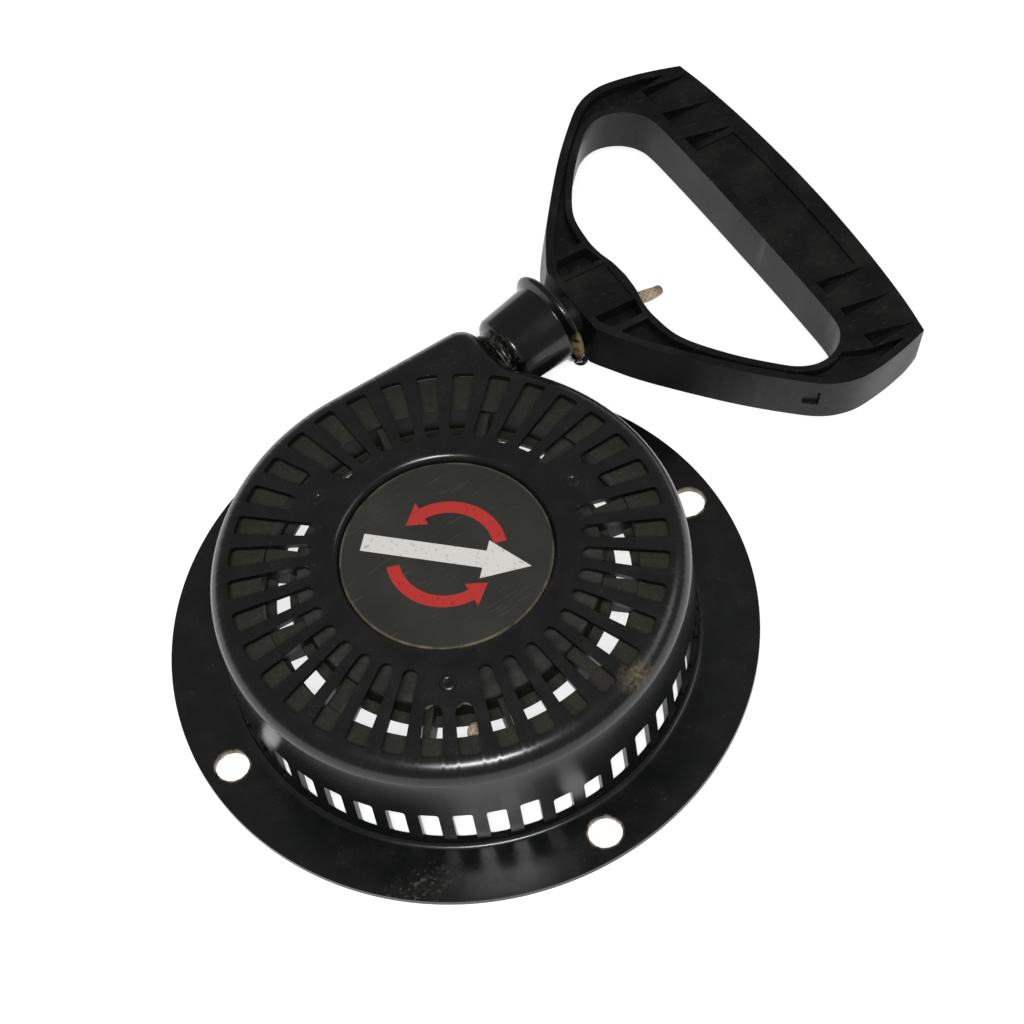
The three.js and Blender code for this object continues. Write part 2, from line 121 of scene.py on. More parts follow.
# ---- mesh tools ---------------------------------------------------------------
def in_scene(name, data):
    """An object at the origin that holds a mesh, a camera or a light."""
    item = bpy.data.objects.new(name, data)
    bpy.context.scene.collection.objects.link(item)
    return item


def new_piece(name, points, faces):
    """A piece with its place in its mesh. Points are in millimetres."""
    mesh = bpy.data.meshes.new(name)
    mesh.from_pydata([Vector(p) * MM for p in points], [], faces)
    mesh.validate()
    return in_scene(name, mesh)


def outward(piece, merge=True):
    """Turns every face of a closed piece outwards, and merges its doubles if asked."""
    form = bmesh.new()
    form.from_mesh(piece.data)
    if merge:
        bmesh.ops.remove_doubles(form, verts=form.verts, dist=1e-6)
    bmesh.ops.recalc_face_normals(form, faces=form.faces)
    form.to_mesh(piece.data)
    form.free()
    return piece


def apply_modifiers(piece):
    """Keeps the modifiers' result as the piece's mesh."""
    bpy.context.view_layer.update()
    evaluated = piece.evaluated_get(bpy.context.evaluated_depsgraph_get())
    mesh = bpy.data.meshes.new_from_object(evaluated)
    piece.modifiers.clear()
    piece.data = mesh
    return piece


def round_edges(piece, width, segments=2, angle=40, weighted=True):
    """Modifiers that round the sharp edges. Weighted normals keep the flat faces flat."""
    bevel = piece.modifiers.new("edge_radius", "BEVEL")
    bevel.width = width * MM
    bevel.segments = segments
    bevel.limit_method = "ANGLE"
    bevel.angle_limit = math.radians(angle)
    if weighted:
        piece.modifiers.new("flat_faces", "WEIGHTED_NORMAL").keep_sharp = True


def soften(piece, width, **settings):
    """Rounds a piece's sharp edges for good."""
    round_edges(piece, width, **settings)
    piece.data.shade_smooth()
    return apply_modifiers(piece)


def smooth(piece, angle=40):
    """Smooth shading, with creases sharper than the angle kept sharp."""
    piece.data.shade_smooth()
    piece.data.set_sharp_from_angle(angle=math.radians(angle))
    return piece


def finish(piece, material, slot, body, *nodes):
    """Gives a piece its material and body, and hides the CAD nodes that it stands for. The slot is not used."""
    piece.data.materials.clear()
    piece.data.materials.append(material)
    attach(piece, body)
    if nodes:
        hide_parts(*nodes)
    return piece


def join(name, parts):
    """One piece made of several separate closed solids."""
    form = bmesh.new()
    for part in parts:
        form.from_mesh(part.data)
    mesh = bpy.data.meshes.new(name)
    form.to_mesh(mesh)
    form.free()
    for part in parts:
        bpy.data.objects.remove(part)
    return in_scene(name, mesh)


def move(piece, matrix):
    """Moves the mesh, not the object. The matrix is in millimetres."""
    scale = Matrix.Scale(MM, 4)
    piece.data.transform(scale @ matrix @ scale.inverted())
    return piece


def lift(piece, height):
    """Moves the mesh up."""
    return move(piece, Matrix.Translation((0, 0, height)))


def aim(point, direction):
    """The matrix that takes +Z at the origin to a direction at a point."""
    turn = Vector(direction).to_track_quat("Z", "Y").to_matrix().to_4x4()
    return Matrix.Translation(Vector(point)) @ turn


def lathe(name, profile, segments=96):
    """A closed solid of revolution about +Z. A profile that touches the axis is capped there."""
    points, faces, rings = [], [], []
    for radius, height in profile:
        if radius < 1e-6:
            rings.append([len(points)])
            points.append((0, 0, height))
            continue
        rings.append(list(range(len(points), len(points) + segments)))
        for i in range(segments):
            angle = 2 * math.pi * i / segments
            points.append((radius * math.cos(angle), radius * math.sin(angle), height))
    pairs = list(zip(rings, rings[1:]))
    if len(rings[0]) > 1:
        pairs.append((rings[-1], rings[0]))
    for low, high in pairs:
        for i in range(segments):
            j = (i + 1) % segments
            corners = [low[i % len(low)], low[j % len(low)], high[j % len(high)], high[i % len(high)]]
            face = list(dict.fromkeys(corners))
            if len(face) > 2:
                faces.append(face)
    return outward(new_piece(name, points, faces))


def prism(name, outline, bottom, top):
    """A straight prism on a closed outline of (x, y)."""
    count = len(outline)
    points = [(x, y, bottom) for x, y in outline] + [(x, y, top) for x, y in outline]
    faces = [list(range(count))[::-1], list(range(count, 2 * count))]
    faces += [[i, (i + 1) % count, count + (i + 1) % count, count + i] for i in range(count)]
    return outward(new_piece(name, points, faces))


def arc(x, y, radius, start, end, steps):
    """Points on an arc, with its angles in degrees."""
    angles = [math.radians(start + (end - start) * i / steps) for i in range(steps + 1)]
    return [(x + radius * math.cos(a), y + radius * math.sin(a)) for a in angles]


def polar(radius, degrees, height=0.0):
    """The point at a radius, an angle and a height."""
    angle = math.radians(degrees)
    return Vector((radius * math.cos(angle), radius * math.sin(angle), height))


def spline(points, steps=8):
    """A smooth line through the points."""
    points = [Vector(p) for p in points]
    count = len(points)
    line = []
    for i in range(count - 1):
        a, b, c, d = (points[min(max(i + k, 0), count - 1)] for k in (-1, 0, 1, 2))
        for step in range(steps):
            t = step / steps
            line.append(0.5 * (2 * b + (c - a) * t + (2 * a - 5 * b + 4 * c - d) * t * t
                               + (3 * b - a - 3 * c + d) * t ** 3))
    return line + [points[-1]]


def sweep(name, path, radius, sides=12):
    """A closed tube along a path. radius is a number or a function of the share of the path and
    the angle round it. The uv map holds turns round the tube and millimetres along it."""
    count = len(path)
    forward = [(path[min(i + 1, count - 1)] - path[max(i - 1, 0)]).normalized() for i in range(count)]
    side = forward[0].orthogonal().normalized()
    points, along = [], [0.0]
    for i in range(count):
        side = (side - forward[i] * side.dot(forward[i])).normalized()
        across = forward[i].cross(side)
        share = i / (count - 1)
        if i:
            along.append(along[-1] + (path[i] - path[i - 1]).length)
        for k in range(sides):
            angle = 2 * math.pi * k / sides
            reach = radius(share, angle) if callable(radius) else radius
            points.append(path[i] + (side * math.cos(angle) + across * math.sin(angle)) * reach)
    faces, spots = [], []
    for i in range(count - 1):
        for k in range(sides):
            n = (k + 1) % sides
            faces.append([i * sides + k, i * sides + n, (i + 1) * sides + n, (i + 1) * sides + k])
            spots.append([(k / sides, along[i]), ((k + 1) / sides, along[i]),
                          ((k + 1) / sides, along[i + 1]), (k / sides, along[i + 1])])
    for start, order in ((0, -1), ((count - 1) * sides, 1)):
        faces.append(list(range(start, start + sides))[::order])
        spots.append([(0.5, along[0 if start == 0 else -1])] * sides)
    mesh = bpy.data.meshes.new(name)
    mesh.from_pydata([p * MM for p in points], [], faces)
    layer = mesh.uv_layers.new(name="along")
    for polygon, spot in zip(mesh.polygons, spots):
        for loop, place in zip(polygon.loop_indices, spot):
            layer.data[loop].uv = place
    return outward(in_scene(name, mesh), merge=False)


def cut(piece, tool, how="DIFFERENCE"):
    """Cuts, joins or keeps the common part of two solids, and removes the second."""
    change = piece.modifiers.new("cut", "BOOLEAN")
    change.operation = how
    change.solver = "EXACT"
    change.object = tool
    apply_modifiers(piece)
    bpy.data.objects.remove(tool)
    return piece


# ---- materials ----------------------------------------------------------------
def srgb(colour):
    """An sRGB hex colour as linear RGBA."""
    values = [int(colour[i:i + 2], 16) / 255 for i in (1, 3, 5)]
    return [v / 12.92 if v <= 0.04045 else ((v + 0.055) / 1.055) ** 2.4 for v in values] + [1.0]


def add_node(tree, kind, inputs=None, **settings):
    """Adds a node. inputs maps a socket's name or number to a value or to another node's output."""
    made = tree.nodes.new(kind)
    for name, value in settings.items():
        setattr(made, name, value)
    for name, value in (inputs or {}).items():
        if isinstance(value, bpy.types.NodeSocket):
            tree.links.new(value, made.inputs[name])
        else:
            made.inputs[name].default_value = value
    return made


class Look:
    """A material being made: its masks, reliefs and surface. Sizes are in millimetres."""

    def __init__(self, name):
        self.material = bpy.data.materials.new(name)
        self.material.use_nodes = True
        self.tree = self.material.node_tree
        self.tree.nodes.clear()
        self.place = self.node("ShaderNodeTexCoord").outputs["Object"]

    def node(self, kind, inputs=None, **settings):
        return add_node(self.tree, kind, inputs, **settings)

    def surface(self, **inputs):
        """Ends the material. Names use _ where the shader's socket has a space."""
        sockets = {name.replace("_", " "): value for name, value in inputs.items()}
        shader = self.node("ShaderNodeBsdfPrincipled", sockets)
        self.node("ShaderNodeOutputMaterial", {"Surface": shader.outputs[0]})
        return self.material

    def product(self, first, *others):
        """Where all the masks are. Numbers scale them."""
        for other in others:
            first = self.node("ShaderNodeMath", {0: first, 1: other}, operation="MULTIPLY").outputs[0]
        return first

    def cover(self, base, top, *masks):
        """Goes from the base's colour or number to the top's, where all the masks are."""
        kind, first, result = ("RGBA", 6, 2) if isinstance(top, list) else ("FLOAT", 2, 0)
        inputs = {"Factor": self.product(*masks), first: base, first + 1: top}
        return self.node("ShaderNodeMix", inputs, data_type=kind).outputs[result]

    def speckle(self, size, low, high, detail=4.0, place=None):
        """Patches of about a size: a mask of the noise between two of its levels."""
        noise = self.node("ShaderNodeTexNoise", {
            "Vector": self.place if place is None else place, "Scale": 1 / (size * MM), "Detail": detail})
        return self.node("ShaderNodeMapRange", {
            "Value": noise.outputs["Fac"], "From Min": low, "From Max": high}).outputs[0]

    def scratches(self, size, low, high, detail, turn, squeeze):
        """Fine lines: speckle drawn out along one direction."""
        place = self.node("ShaderNodeMapping", {
            "Vector": self.place, "Rotation": (0, 0, turn), "Scale": (squeeze, 1, 1)})
        return self.speckle(size, low, high, detail, place.outputs[0])

    def spot(self, centre, inner, outer, stretch=(1, 1, 1)):
        """A mask that is 1 near a point and fades out between two distances."""
        away = self.place
        for operation, value in (("SUBTRACT", Vector(centre) * MM), ("MULTIPLY", stretch)):
            away = self.node("ShaderNodeVectorMath", {0: away, 1: value}, operation=operation).outputs[0]
        length = self.node("ShaderNodeVectorMath", {0: away}, operation="LENGTH").outputs["Value"]
        return self.node("ShaderNodeMapRange", {
            "Value": length, "From Min": inner * MM, "From Max": outer * MM, "To Min": 1.0,
            "To Max": 0.0}).outputs[0]

    def facing_up(self):
        """A mask of the faces that look upwards, where dust settles."""
        normal = self.node("ShaderNodeNewGeometry").outputs["Normal"]
        height = self.node("ShaderNodeSeparateXYZ", {0: normal}).outputs["Z"]
        return self.node("ShaderNodeMapRange", {
            "Value": height, "From Min": 0.35, "From Max": 0.95}).outputs[0]

    def relief(self, size, detail, depth, strength):
        """Uneven bumps of about a size and a depth."""
        noise = self.node("ShaderNodeTexNoise", {
            "Vector": self.place, "Scale": 1 / (size * MM), "Detail": detail})
        return self.node("ShaderNodeBump", {
            "Height": noise.outputs["Fac"], "Distance": depth * MM, "Strength": strength}).outputs[0]


RIM_SCUFF = (29.2, -72.4, 50.6)
FLANGE_SCUFF = (-63.0, -75.0, 2.0)
CUP_RUB = GUIDE_POINT + GUIDE_AXIS * 26.4 + Vector((2.4, -17.2, 1.0))
CORD_END = HANDLE_PLACE @ Vector((43.4, -4.4, 1.6))
BRAID_STRANDS = 6.0                  # in each direction
BRAID_PITCH = 0.42                   # strands passed for each millimetre of cord


def baked_enamel():
    """Satin black enamel, sprayed on pressed steel and baked: dark, with a soft sharp-edged
    gloss, a faint orange peel, thin dust on top and the paint rubbed through in two places."""
    look = Look("satin_black_baked_enamel")
    dust = look.product(look.speckle(9, 0.42, 0.78), look.facing_up())
    grit = look.speckle(0.9, 0.66, 0.72, detail=2)
    rubbed = look.product(look.spot(RIM_SCUFF, 1.0, 7.0, (0.8, 1.0, 1.4)), look.speckle(1.5, 0.3, 0.75))
    colour = look.cover(srgb("#0d0e0f"), srgb("#57544b"), dust, 0.05)
    colour = look.cover(colour, srgb("#6e6a5e"), grit, dust, 0.3)
    colour = look.cover(colour, srgb("#857759"), rubbed, 0.7)
    bare = look.speckle(3.0, 0.35, 0.6)
    for angle in BOLT_ANGLES:
        centre = polar(BOLT_CIRCLE, angle, SHEET / 2)
        hole_edge = look.spot(centre, BOLT_HOLE_RADIUS + 0.3, BOLT_HOLE_RADIUS + 0.8)
        colour = look.cover(colour, srgb("#8d8068"), hole_edge, bare, 0.8)
    chipped = look.product(look.spot(FLANGE_SCUFF, 4, 14, (0.75, 1.6, 1.0)), look.speckle(1.3, 0.56, 0.64))
    colour = look.cover(colour, srgb("#5e5a50"), chipped, 0.55)
    rough = look.cover(0.20, 0.27, look.speckle(22, 0.3, 0.7))
    rough = look.cover(rough, 0.5, dust, 0.3)
    rough = look.cover(rough, 0.65, rubbed)
    return look.surface(Base_Color=colour, Roughness=rough, IOR=1.5,
                        Normal=look.relief(1.6, 2.0, 0.012, 0.25))


def textured_polypropylene():
    """Black polypropylene from a fine-etched mould: a soft grey sheen, tiny grain, fine
    scratches and a trace of dirt on its upper faces."""
    look = Look("moulded_black_polypropylene")
    scratch = look.scratches(0.8, 0.64, 0.7, detail=2.0, turn=0, squeeze=0.16)
    colour = look.cover(srgb("#0b0c0c"), srgb("#5c5a54"), look.speckle(14, 0.45, 0.75), look.facing_up(), 0.10)
    colour = look.cover(colour, srgb("#6a6a68"), scratch, 0.10)
    rough = look.cover(0.36, 0.46, look.speckle(18, 0.35, 0.65))
    return look.surface(Base_Color=colour, Roughness=rough, IOR=1.49, Specular_IOR_Level=0.28,
                        Normal=look.relief(0.55, 3.0, 0.03, 0.8))


def glossy_nylon():
    """Glossy black moulded nylon: a deep shine, grey-green grime where it meets the housing and
    a tan rubbed patch on the rim, where the handle lands."""
    look = Look("glossy_black_nylon")
    grime = look.product(look.spot(GUIDE_POINT + GUIDE_AXIS * 1.5, 9, 15), look.speckle(1.6, 0.48, 0.62))
    worn = look.product(look.spot(CUP_RUB, 3.6, 6.2, (1.5, 1.0, 0.75)), look.speckle(3.0, 0.3, 0.5))
    colour = look.cover(srgb("#08090a"), srgb("#565b4c"), grime, 0.5)
    colour = look.cover(colour, srgb("#7f6d48"), worn, 0.85)
    rough = look.cover(0.16, 0.26, look.speckle(12, 0.35, 0.7))
    rough = look.cover(rough, 0.55, grime)
    rough = look.cover(rough, 0.7, worn)
    return look.surface(Base_Color=colour, Roughness=rough, IOR=1.53,
                        Normal=look.relief(3.5, 2.0, 0.05, 0.5))


def dusty_nylon():
    """Dark moulded nylon under years of grass dust: olive grey on top, nearly black below."""
    look = Look("dusty_dark_nylon")
    dust = look.product(look.cover(0.55, 1.0, look.speckle(6, 0.3, 0.7)), look.facing_up())
    colour = look.cover(srgb("#0f0f0e"), srgb("#29281f"), dust)
    colour = look.cover(colour, srgb("#6b6754"), look.speckle(0.8, 0.6, 0.7, detail=2), dust, 0.25)
    return look.surface(Base_Color=colour, Roughness=look.cover(0.6, 0.85, dust), IOR=1.53,
                        Normal=look.relief(0.7, 4.0, 0.08, 0.7))


def zinc_plate(dusty=False):
    """Zinc-plated steel gone dull: grey, with cloudy spangle and brown specks. The dusty one lies
    under the crown's slots and has a coat of dark grass dust."""
    look = Look("dusty_zinc_plate" if dusty else "dull_zinc_plate")
    cloud = look.speckle(5, 0.35, 0.7)
    rust = look.speckle(2.4, 0.62, 0.72)
    colour = look.cover(srgb("#8b8d8e"), srgb("#a6a7a5"), cloud)
    colour = look.cover(colour, srgb("#6b4a30"), rust, 0.5)
    rough = look.cover(look.cover(0.34, 0.5, cloud), 0.8, rust)
    metal = 1.0
    if dusty:
        coat = look.cover(0.86, 1.0, look.speckle(7, 0.3, 0.7))
        colour = look.cover(colour, srgb("#1c1b18"), coat)
        metal = look.cover(1.0, 0.0, coat)
        rough = look.cover(rough, 0.75, coat)
    return look.surface(Base_Color=colour, Metallic=metal, Roughness=rough)


def spring_steel():
    """Oiled spring steel: blue grey, drawn lengthwise, with a low soft shine."""
    look = Look("oiled_spring_steel")
    cloud = look.speckle(3, 0.35, 0.7)
    colour = look.cover(srgb("#50555b"), srgb("#767b80"), cloud)
    return look.surface(Base_Color=colour, Metallic=1.0, Roughness=look.cover(0.28, 0.42, cloud))


def hardened_steel():
    """Sintered and hardened steel: dark grey, finely pitted."""
    look = Look("dark_hardened_steel")
    cloud = look.speckle(4, 0.35, 0.7)
    colour = look.cover(srgb("#4a4b4c"), srgb("#6f6f6d"), cloud)
    return look.surface(Base_Color=colour, Metallic=1.0, Roughness=look.cover(0.4, 0.55, cloud),
                        Normal=look.relief(0.5, 3.0, 0.03, 0.8))


def rope_place(look, drawn):
    """Turns round the rope and millimetres along it, from the uv map. For the drawn length they come
    from the guide's axis instead."""
    if not drawn:
        along = look.node("ShaderNodeUVMap", uv_map="along").outputs[0]
        turns = look.node("ShaderNodeSeparateXYZ", {0: along}).outputs
        return turns["X"], turns["Y"]
    middle = (GUIDE_POINT + Vector((0, -0.2, 1.0))) * MM
    offset = look.node("ShaderNodeVectorMath", {0: look.place, 1: middle}, operation="SUBTRACT").outputs[0]
    ahead, aside, above = (
        look.node("ShaderNodeVectorMath", {0: offset, 1: way}, operation="DOT_PRODUCT").outputs["Value"]
        for way in (GUIDE_AXIS, GUIDE_SIDE, (0, 0, 1)))
    angle = look.node("ShaderNodeMath", {0: above, 1: aside}, operation="ARCTAN2").outputs[0]
    return look.product(angle, 0.5 / math.pi), look.product(ahead, 1 / MM)


def braided_cord(name, drawn=False, burnt=False):
    """Braided cotton and polyester cord: tan strands crossing both ways, with painted shade in the
    hollows between them. The cut end is melted brown."""
    look = Look(name)
    around, length = rope_place(look, drawn)
    strands = []
    for direction in (1, -1):
        shares = {0: look.product(around, direction * BRAID_STRANDS), 1: look.product(length, BRAID_PITCH)}
        phase = look.node("ShaderNodeMath", shares, operation="ADD").outputs[0]
        wave = look.node("ShaderNodeMath", {0: look.product(phase, 2 * math.pi)}, operation="SINE").outputs[0]
        strands.append(look.node("ShaderNodeMapRange", {
            "Value": wave, "From Min": -1.0, "From Max": 1.0}).outputs[0])
    height = look.node("ShaderNodeMath", dict(enumerate(strands)), operation="MAXIMUM").outputs[0]
    fuzz = look.speckle(0.7, 0.3, 0.7)
    # Painted shade: the colour darkens from the strands' crests down into the hollows between them.
    colour = look.cover(srgb("#8d7d68"), srgb("#bfae96"), height)
    colour = look.cover(colour, srgb("#7a6048"), look.speckle(2.6, 0.35, 0.7), 0.45)
    if burnt:
        colour = look.cover(colour, srgb("#5e3424"), look.spot(CORD_END, 2.2, 6.0), look.cover(1.0, 0.6, fuzz))
    lumps = look.node("ShaderNodeBump", {
        "Height": look.cover(height, fuzz, 0.35), "Distance": 0.25 * MM, "Strength": 0.9})
    return look.surface(Base_Color=colour, Roughness=0.9, IOR=1.45, Sheen_Weight=0.25,
                        Normal=lumps.outputs[0])


def label_film():
    """Printed polyester film, matt and rubbed: warm dark grey, a pale chafed edge and fine scratches."""
    look = Look("worn_dark_label_film")
    flat = look.node("ShaderNodeVectorMath", {0: look.place, 1: (1, 1, 0)}, operation="MULTIPLY").outputs[0]
    away = look.node("ShaderNodeVectorMath", {0: flat}, operation="LENGTH").outputs["Value"]
    edge = look.node("ShaderNodeMapRange", {
        "Value": away, "From Min": 35.0 * MM, "From Max": 35.7 * MM}).outputs[0]
    cloud = look.speckle(26, 0.3, 0.7)
    scratch = look.scratches(0.7, 0.62, 0.72, detail=3.0, turn=0.6, squeeze=0.06)
    colour = look.cover(srgb("#242421"), srgb("#30302b"), cloud)
    colour = look.cover(colour, srgb("#6f6c62"), scratch, 0.2)
    colour = look.cover(colour, srgb("#8a8168"), edge, look.speckle(9, 0.35, 0.6), 0.6)
    return look.surface(Base_Color=colour, Roughness=look.cover(0.38, 0.5, cloud), IOR=1.5)


def print_ink(name, colour, worn_colour):
    """Screen-printed ink on the label, rubbed thin in places."""
    look = Look(name)
    mixed = look.cover(srgb(colour), srgb(worn_colour), look.speckle(1.4, 0.6, 0.72), 0.6)
    return look.surface(Base_Color=mixed, Roughness=0.45, IOR=1.5)


enamel = baked_enamel()
handle_plastic = textured_polypropylene()
guide_nylon = glossy_nylon()
reel_nylon = dusty_nylon()
zinc = zinc_plate()
springy = spring_steel()
hardened = hardened_steel()
dusty_zinc = zinc_plate(dusty=True)
cord = braided_cord("braided_tan_cord")
drawn_cord = braided_cord("braided_tan_cord_drawn", drawn=True)
cord_end = braided_cord("melted_cord_end", burnt=True)
film = label_film()
red_ink = print_ink("red_screen_print", "#b8302c", "#4a2a28")
white_ink = print_ink("white_screen_print", "#dcdad4", "#77756f")


# ---- stage: floor, light and camera -------------------------------------------
CAMERA_TARGET = (32.35, 15.86, 30.0)
CAMERA_DISTANCE = 1166.2
CAMERA_ANGLES = (-22.32, 58.07, 10.52)           # azimuth, elevation and roll in degrees
CAMERA_LENS = 119.87


def make_camera():
    """Looks down on the starter from the front left, rolled a little."""
    azimuth, elevation, roll = (math.radians(angle) for angle in CAMERA_ANGLES)
    back = Vector((math.sin(azimuth) * math.cos(elevation), -math.cos(azimuth) * math.cos(elevation),
                   math.sin(elevation)))
    data = bpy.data.cameras.new("camera")
    data.lens = CAMERA_LENS
    data.sensor_width = 36.0
    camera = in_scene("camera", data)
    camera.location = (Vector(CAMERA_TARGET) + back * CAMERA_DISTANCE) * MM
    camera.rotation_mode = "QUATERNION"
    camera.rotation_quaternion = (-back).to_track_quat("-Z", "Y") @ Quaternion((0, 0, 1), -roll)
    bpy.context.scene.camera = camera


def make_light(name, position, target, size, power):
    """A soft box. Its place and size are in metres."""
    data = bpy.data.lights.new(name, "AREA")
    data.shape = "RECTANGLE"
    data.size, data.size_y = size
    data.energy = power
    light = in_scene(name, data)
    light.location = position
    light.rotation_mode = "QUATERNION"
    light.rotation_quaternion = (Vector(target) - Vector(position)).to_track_quat("-Z", "Y")


def make_stage():
    """A pale light table under soft studio light. The table is just below the flange."""
    floor = new_piece("floor", [(x, y, -0.4) for x, y in ((-6000, -6000), (6000, -6000), (6000, 6000),
                                                         (-6000, 6000))], [(0, 1, 2, 3)])
    table = Look("pale_light_table").surface(
        Base_Color=srgb("#c8c8c8"), Roughness=0.9, Emission_Color=(1, 1, 1, 1), Emission_Strength=0.72,
        Specular_IOR_Level=0.0)
    floor.data.materials.append(table)

    world = bpy.data.worlds.new("studio")
    bpy.context.scene.world = world
    world.use_nodes = True
    sky = world.node_tree.nodes["Background"]
    sky.inputs["Color"].default_value = (1, 1, 1, 1)
    sky.inputs["Strength"].default_value = 0.22
    make_light("key", (-0.40, -0.88, 1.62), (0.02, 0.0, 0.03), (0.6, 0.26), 26)
    make_light("fill", (1.2, -0.5, 1.1), (0.0, 0.0, 0.03), (0.8, 0.5), 3)
    bpy.context.scene.view_settings.view_transform = "Standard"


make_camera()
make_stage()


# ---- housing -------------------------------------------------------------------
def nose_outline(distance):
    """Point and outward normal on the rope nose, at a distance along it from the round wall."""
    centre_away = NOSE_DISTANCE + NOSE_FILLET
    sideways = math.sqrt((WALL_RADIUS + NOSE_FILLET) ** 2 - centre_away ** 2)
    fillet_centre = GUIDE_AXIS * centre_away + GUIDE_SIDE * sideways
    start_angle = math.atan2(fillet_centre.y, fillet_centre.x)
    fillet_length = NOSE_FILLET * (start_angle - GUIDE_YAW)
    corner = Vector((0, WALL_RADIUS - NOSE_CORNER, 0))
    corner.x = (NOSE_DISTANCE - NOSE_CORNER - corner.y * GUIDE_AXIS.y) / GUIDE_AXIS.x
    wall_start = fillet_centre - GUIDE_AXIS * NOSE_FILLET
    wall_length = (corner + GUIDE_AXIS * NOSE_CORNER - wall_start).length
    corner_length = NOSE_CORNER * (math.pi / 2 - GUIDE_YAW)
    if distance < fillet_length:
        angle = start_angle - distance / NOSE_FILLET
        normal = Vector((math.cos(angle), math.sin(angle), 0))
        return fillet_centre - normal * NOSE_FILLET, normal
    distance -= fillet_length
    if distance < wall_length:
        return wall_start + GUIDE_SIDE * distance, GUIDE_AXIS.copy()
    distance -= wall_length
    if distance < corner_length:
        angle = GUIDE_YAW + distance / NOSE_CORNER
        normal = Vector((math.cos(angle), math.sin(angle), 0))
        return corner + normal * NOSE_CORNER, normal
    distance -= corner_length
    return Vector((max(corner.x - distance, 0), WALL_RADIUS, 0)), Vector((0, 1, 0))


WALL_START = 90                      # degrees, where the nose meets the round wall tangentially
NOSE_START = 403.0                   # degrees, where the round wall ends
NOSE_END = WALL_START + 360
NOSE_LENGTH = 78.6


def bell_outline(turn):
    """Point and outward normal on the bell's wall. turn goes round the circle up to NOSE_START,
    then along the nose to NOSE_END, denser where the nose leaves the circle."""
    if turn <= NOSE_START:
        normal = polar(1, turn)
        return normal * WALL_RADIUS, normal
    left = (NOSE_END - turn) / (NOSE_END - NOSE_START)
    return nose_outline(NOSE_LENGTH * (1 - 0.78 * left - 0.22 * left ** 3))


def crown_height(radius):
    """Height of the crown's outer face: flat, then a soft bend, then a gentle slope."""
    past = radius - CROWN_BREAK + CROWN_BLEND / 2
    if past <= 0:
        return CROWN_HEIGHT
    if past < CROWN_BLEND:
        return CROWN_HEIGHT - CROWN_SLOPE * past * past / (2 * CROWN_BLEND)
    return CROWN_HEIGHT - CROWN_SLOPE * (past - CROWN_BLEND / 2)


def from_start(turn):
    """The same direction, as WALL_START to NOSE_END degrees."""
    return (turn - WALL_START) % 360 + WALL_START


def is_near(turn, angles, reach):
    """Whether a direction is within reach degrees of one of the angles."""
    return any(abs((turn - angle + 180) % 360 - 180) < reach for angle in angles)


def slot_inner_end(inner, offset):
    """Radius of a slot's round inner end at an angle from the slot's middle."""
    half = math.radians(SLOT_HALF_ANGLE)
    centre = inner / (1 - math.sin(half))
    reach = (centre * math.sin(half)) ** 2 - (centre * math.sin(offset)) ** 2
    return centre * math.cos(offset) - math.sqrt(max(reach, 0))


def corner_drop(from_edge, radius):
    """How far a rounded corner stands back, at a distance from the edge."""
    inside = radius - from_edge
    return radius - math.sqrt(radius * radius - inside * inside) if inside > 0 else 0.0


SLOT_COLUMNS = (-3, -2.6, -2.1, -1.1, 0, 1.1, 2.1, 2.6, 3, 4, 5, 6)      # degrees from its middle
CROWN_ROWS = (44.2, 46.4, 49.5, 52.3, 54.9, 58.2, 61.5, 64.8, 68, 71, 73.9)
INNER_ROW, SHORT_ROW, OUTER_ROW = 1, 5, 10
SHOULDER_STEPS = 14
UPPER_WALL_ROWS = (38.5, 33.5)


class Shell:
    """Collects the outer surface of the pressing, row by row."""

    def __init__(self):
        self.points = []
        self.faces = []

    def row(self, points):
        start = len(self.points)
        self.points.extend(points)
        return list(range(start, len(self.points)))

    def strip(self, inner, outer, skip=()):
        count = len(inner)
        for i in range(count):
            if i not in skip:
                j = (i + 1) % count
                self.faces.append([inner[i], outer[i], outer[j], inner[j]])

    def extend(self, previous, points):
        """Adds a row and the faces between it and the one before."""
        row = self.row(points)
        self.strip(previous, row)
        return row

    def zip_rows(self, inner, inner_turns, outer, outer_turns):
        """Joins two rows that have different numbers of points."""
        i = j = 0
        while i < len(inner) or j < len(outer):
            next_inner = inner_turns[i + 1] if i + 1 < len(inner) else inner_turns[0] + 360
            next_outer = outer_turns[j + 1] if j + 1 < len(outer) else outer_turns[0] + 360
            a, b = inner[i % len(inner)], outer[j % len(outer)]
            if j >= len(outer) or (i < len(inner) and next_inner <= next_outer):
                self.faces.append([a, b, inner[(i + 1) % len(inner)]])
                i += 1
            else:
                self.faces.append([a, b, outer[(j + 1) % len(outer)]])
                j += 1

    def bolt_hole(self, rows, first, last, centre):
        """Replaces a patch of cells by a round hole."""
        count = len(rows[0])
        columns = [c % count for c in range(first, last + 1)]
        border = [rows[0][c] for c in columns] + [row[columns[-1]] for row in rows[1:-1]]
        border += [rows[-1][c] for c in reversed(columns)] + [row[columns[0]] for row in rows[-2:0:-1]]
        rings = [border]
        for share in (0.45, 0.8, 1.0):
            ring = []
            for index in border:
                out = self.points[index] - centre
                on_hole = out.normalized() * BOLT_HOLE_RADIUS
                ring.append(centre + out.lerp(on_hole, share))
            rings.append(self.row(ring))
        for outside, inside in zip(rings, rings[1:]):
            for i in range(len(border)):
                j = (i + 1) % len(border)
                self.faces.append([outside[i], outside[j], inside[j], inside[i]])


def crown_columns():
    """(turn, slot's number, offset from its middle) for every column, from WALL_START round."""
    return sorted((from_start(SLOT_PITCH * (i + 0.5) + offset), i, offset)
                  for i in range(SLOT_COUNT) for offset in SLOT_COLUMNS)


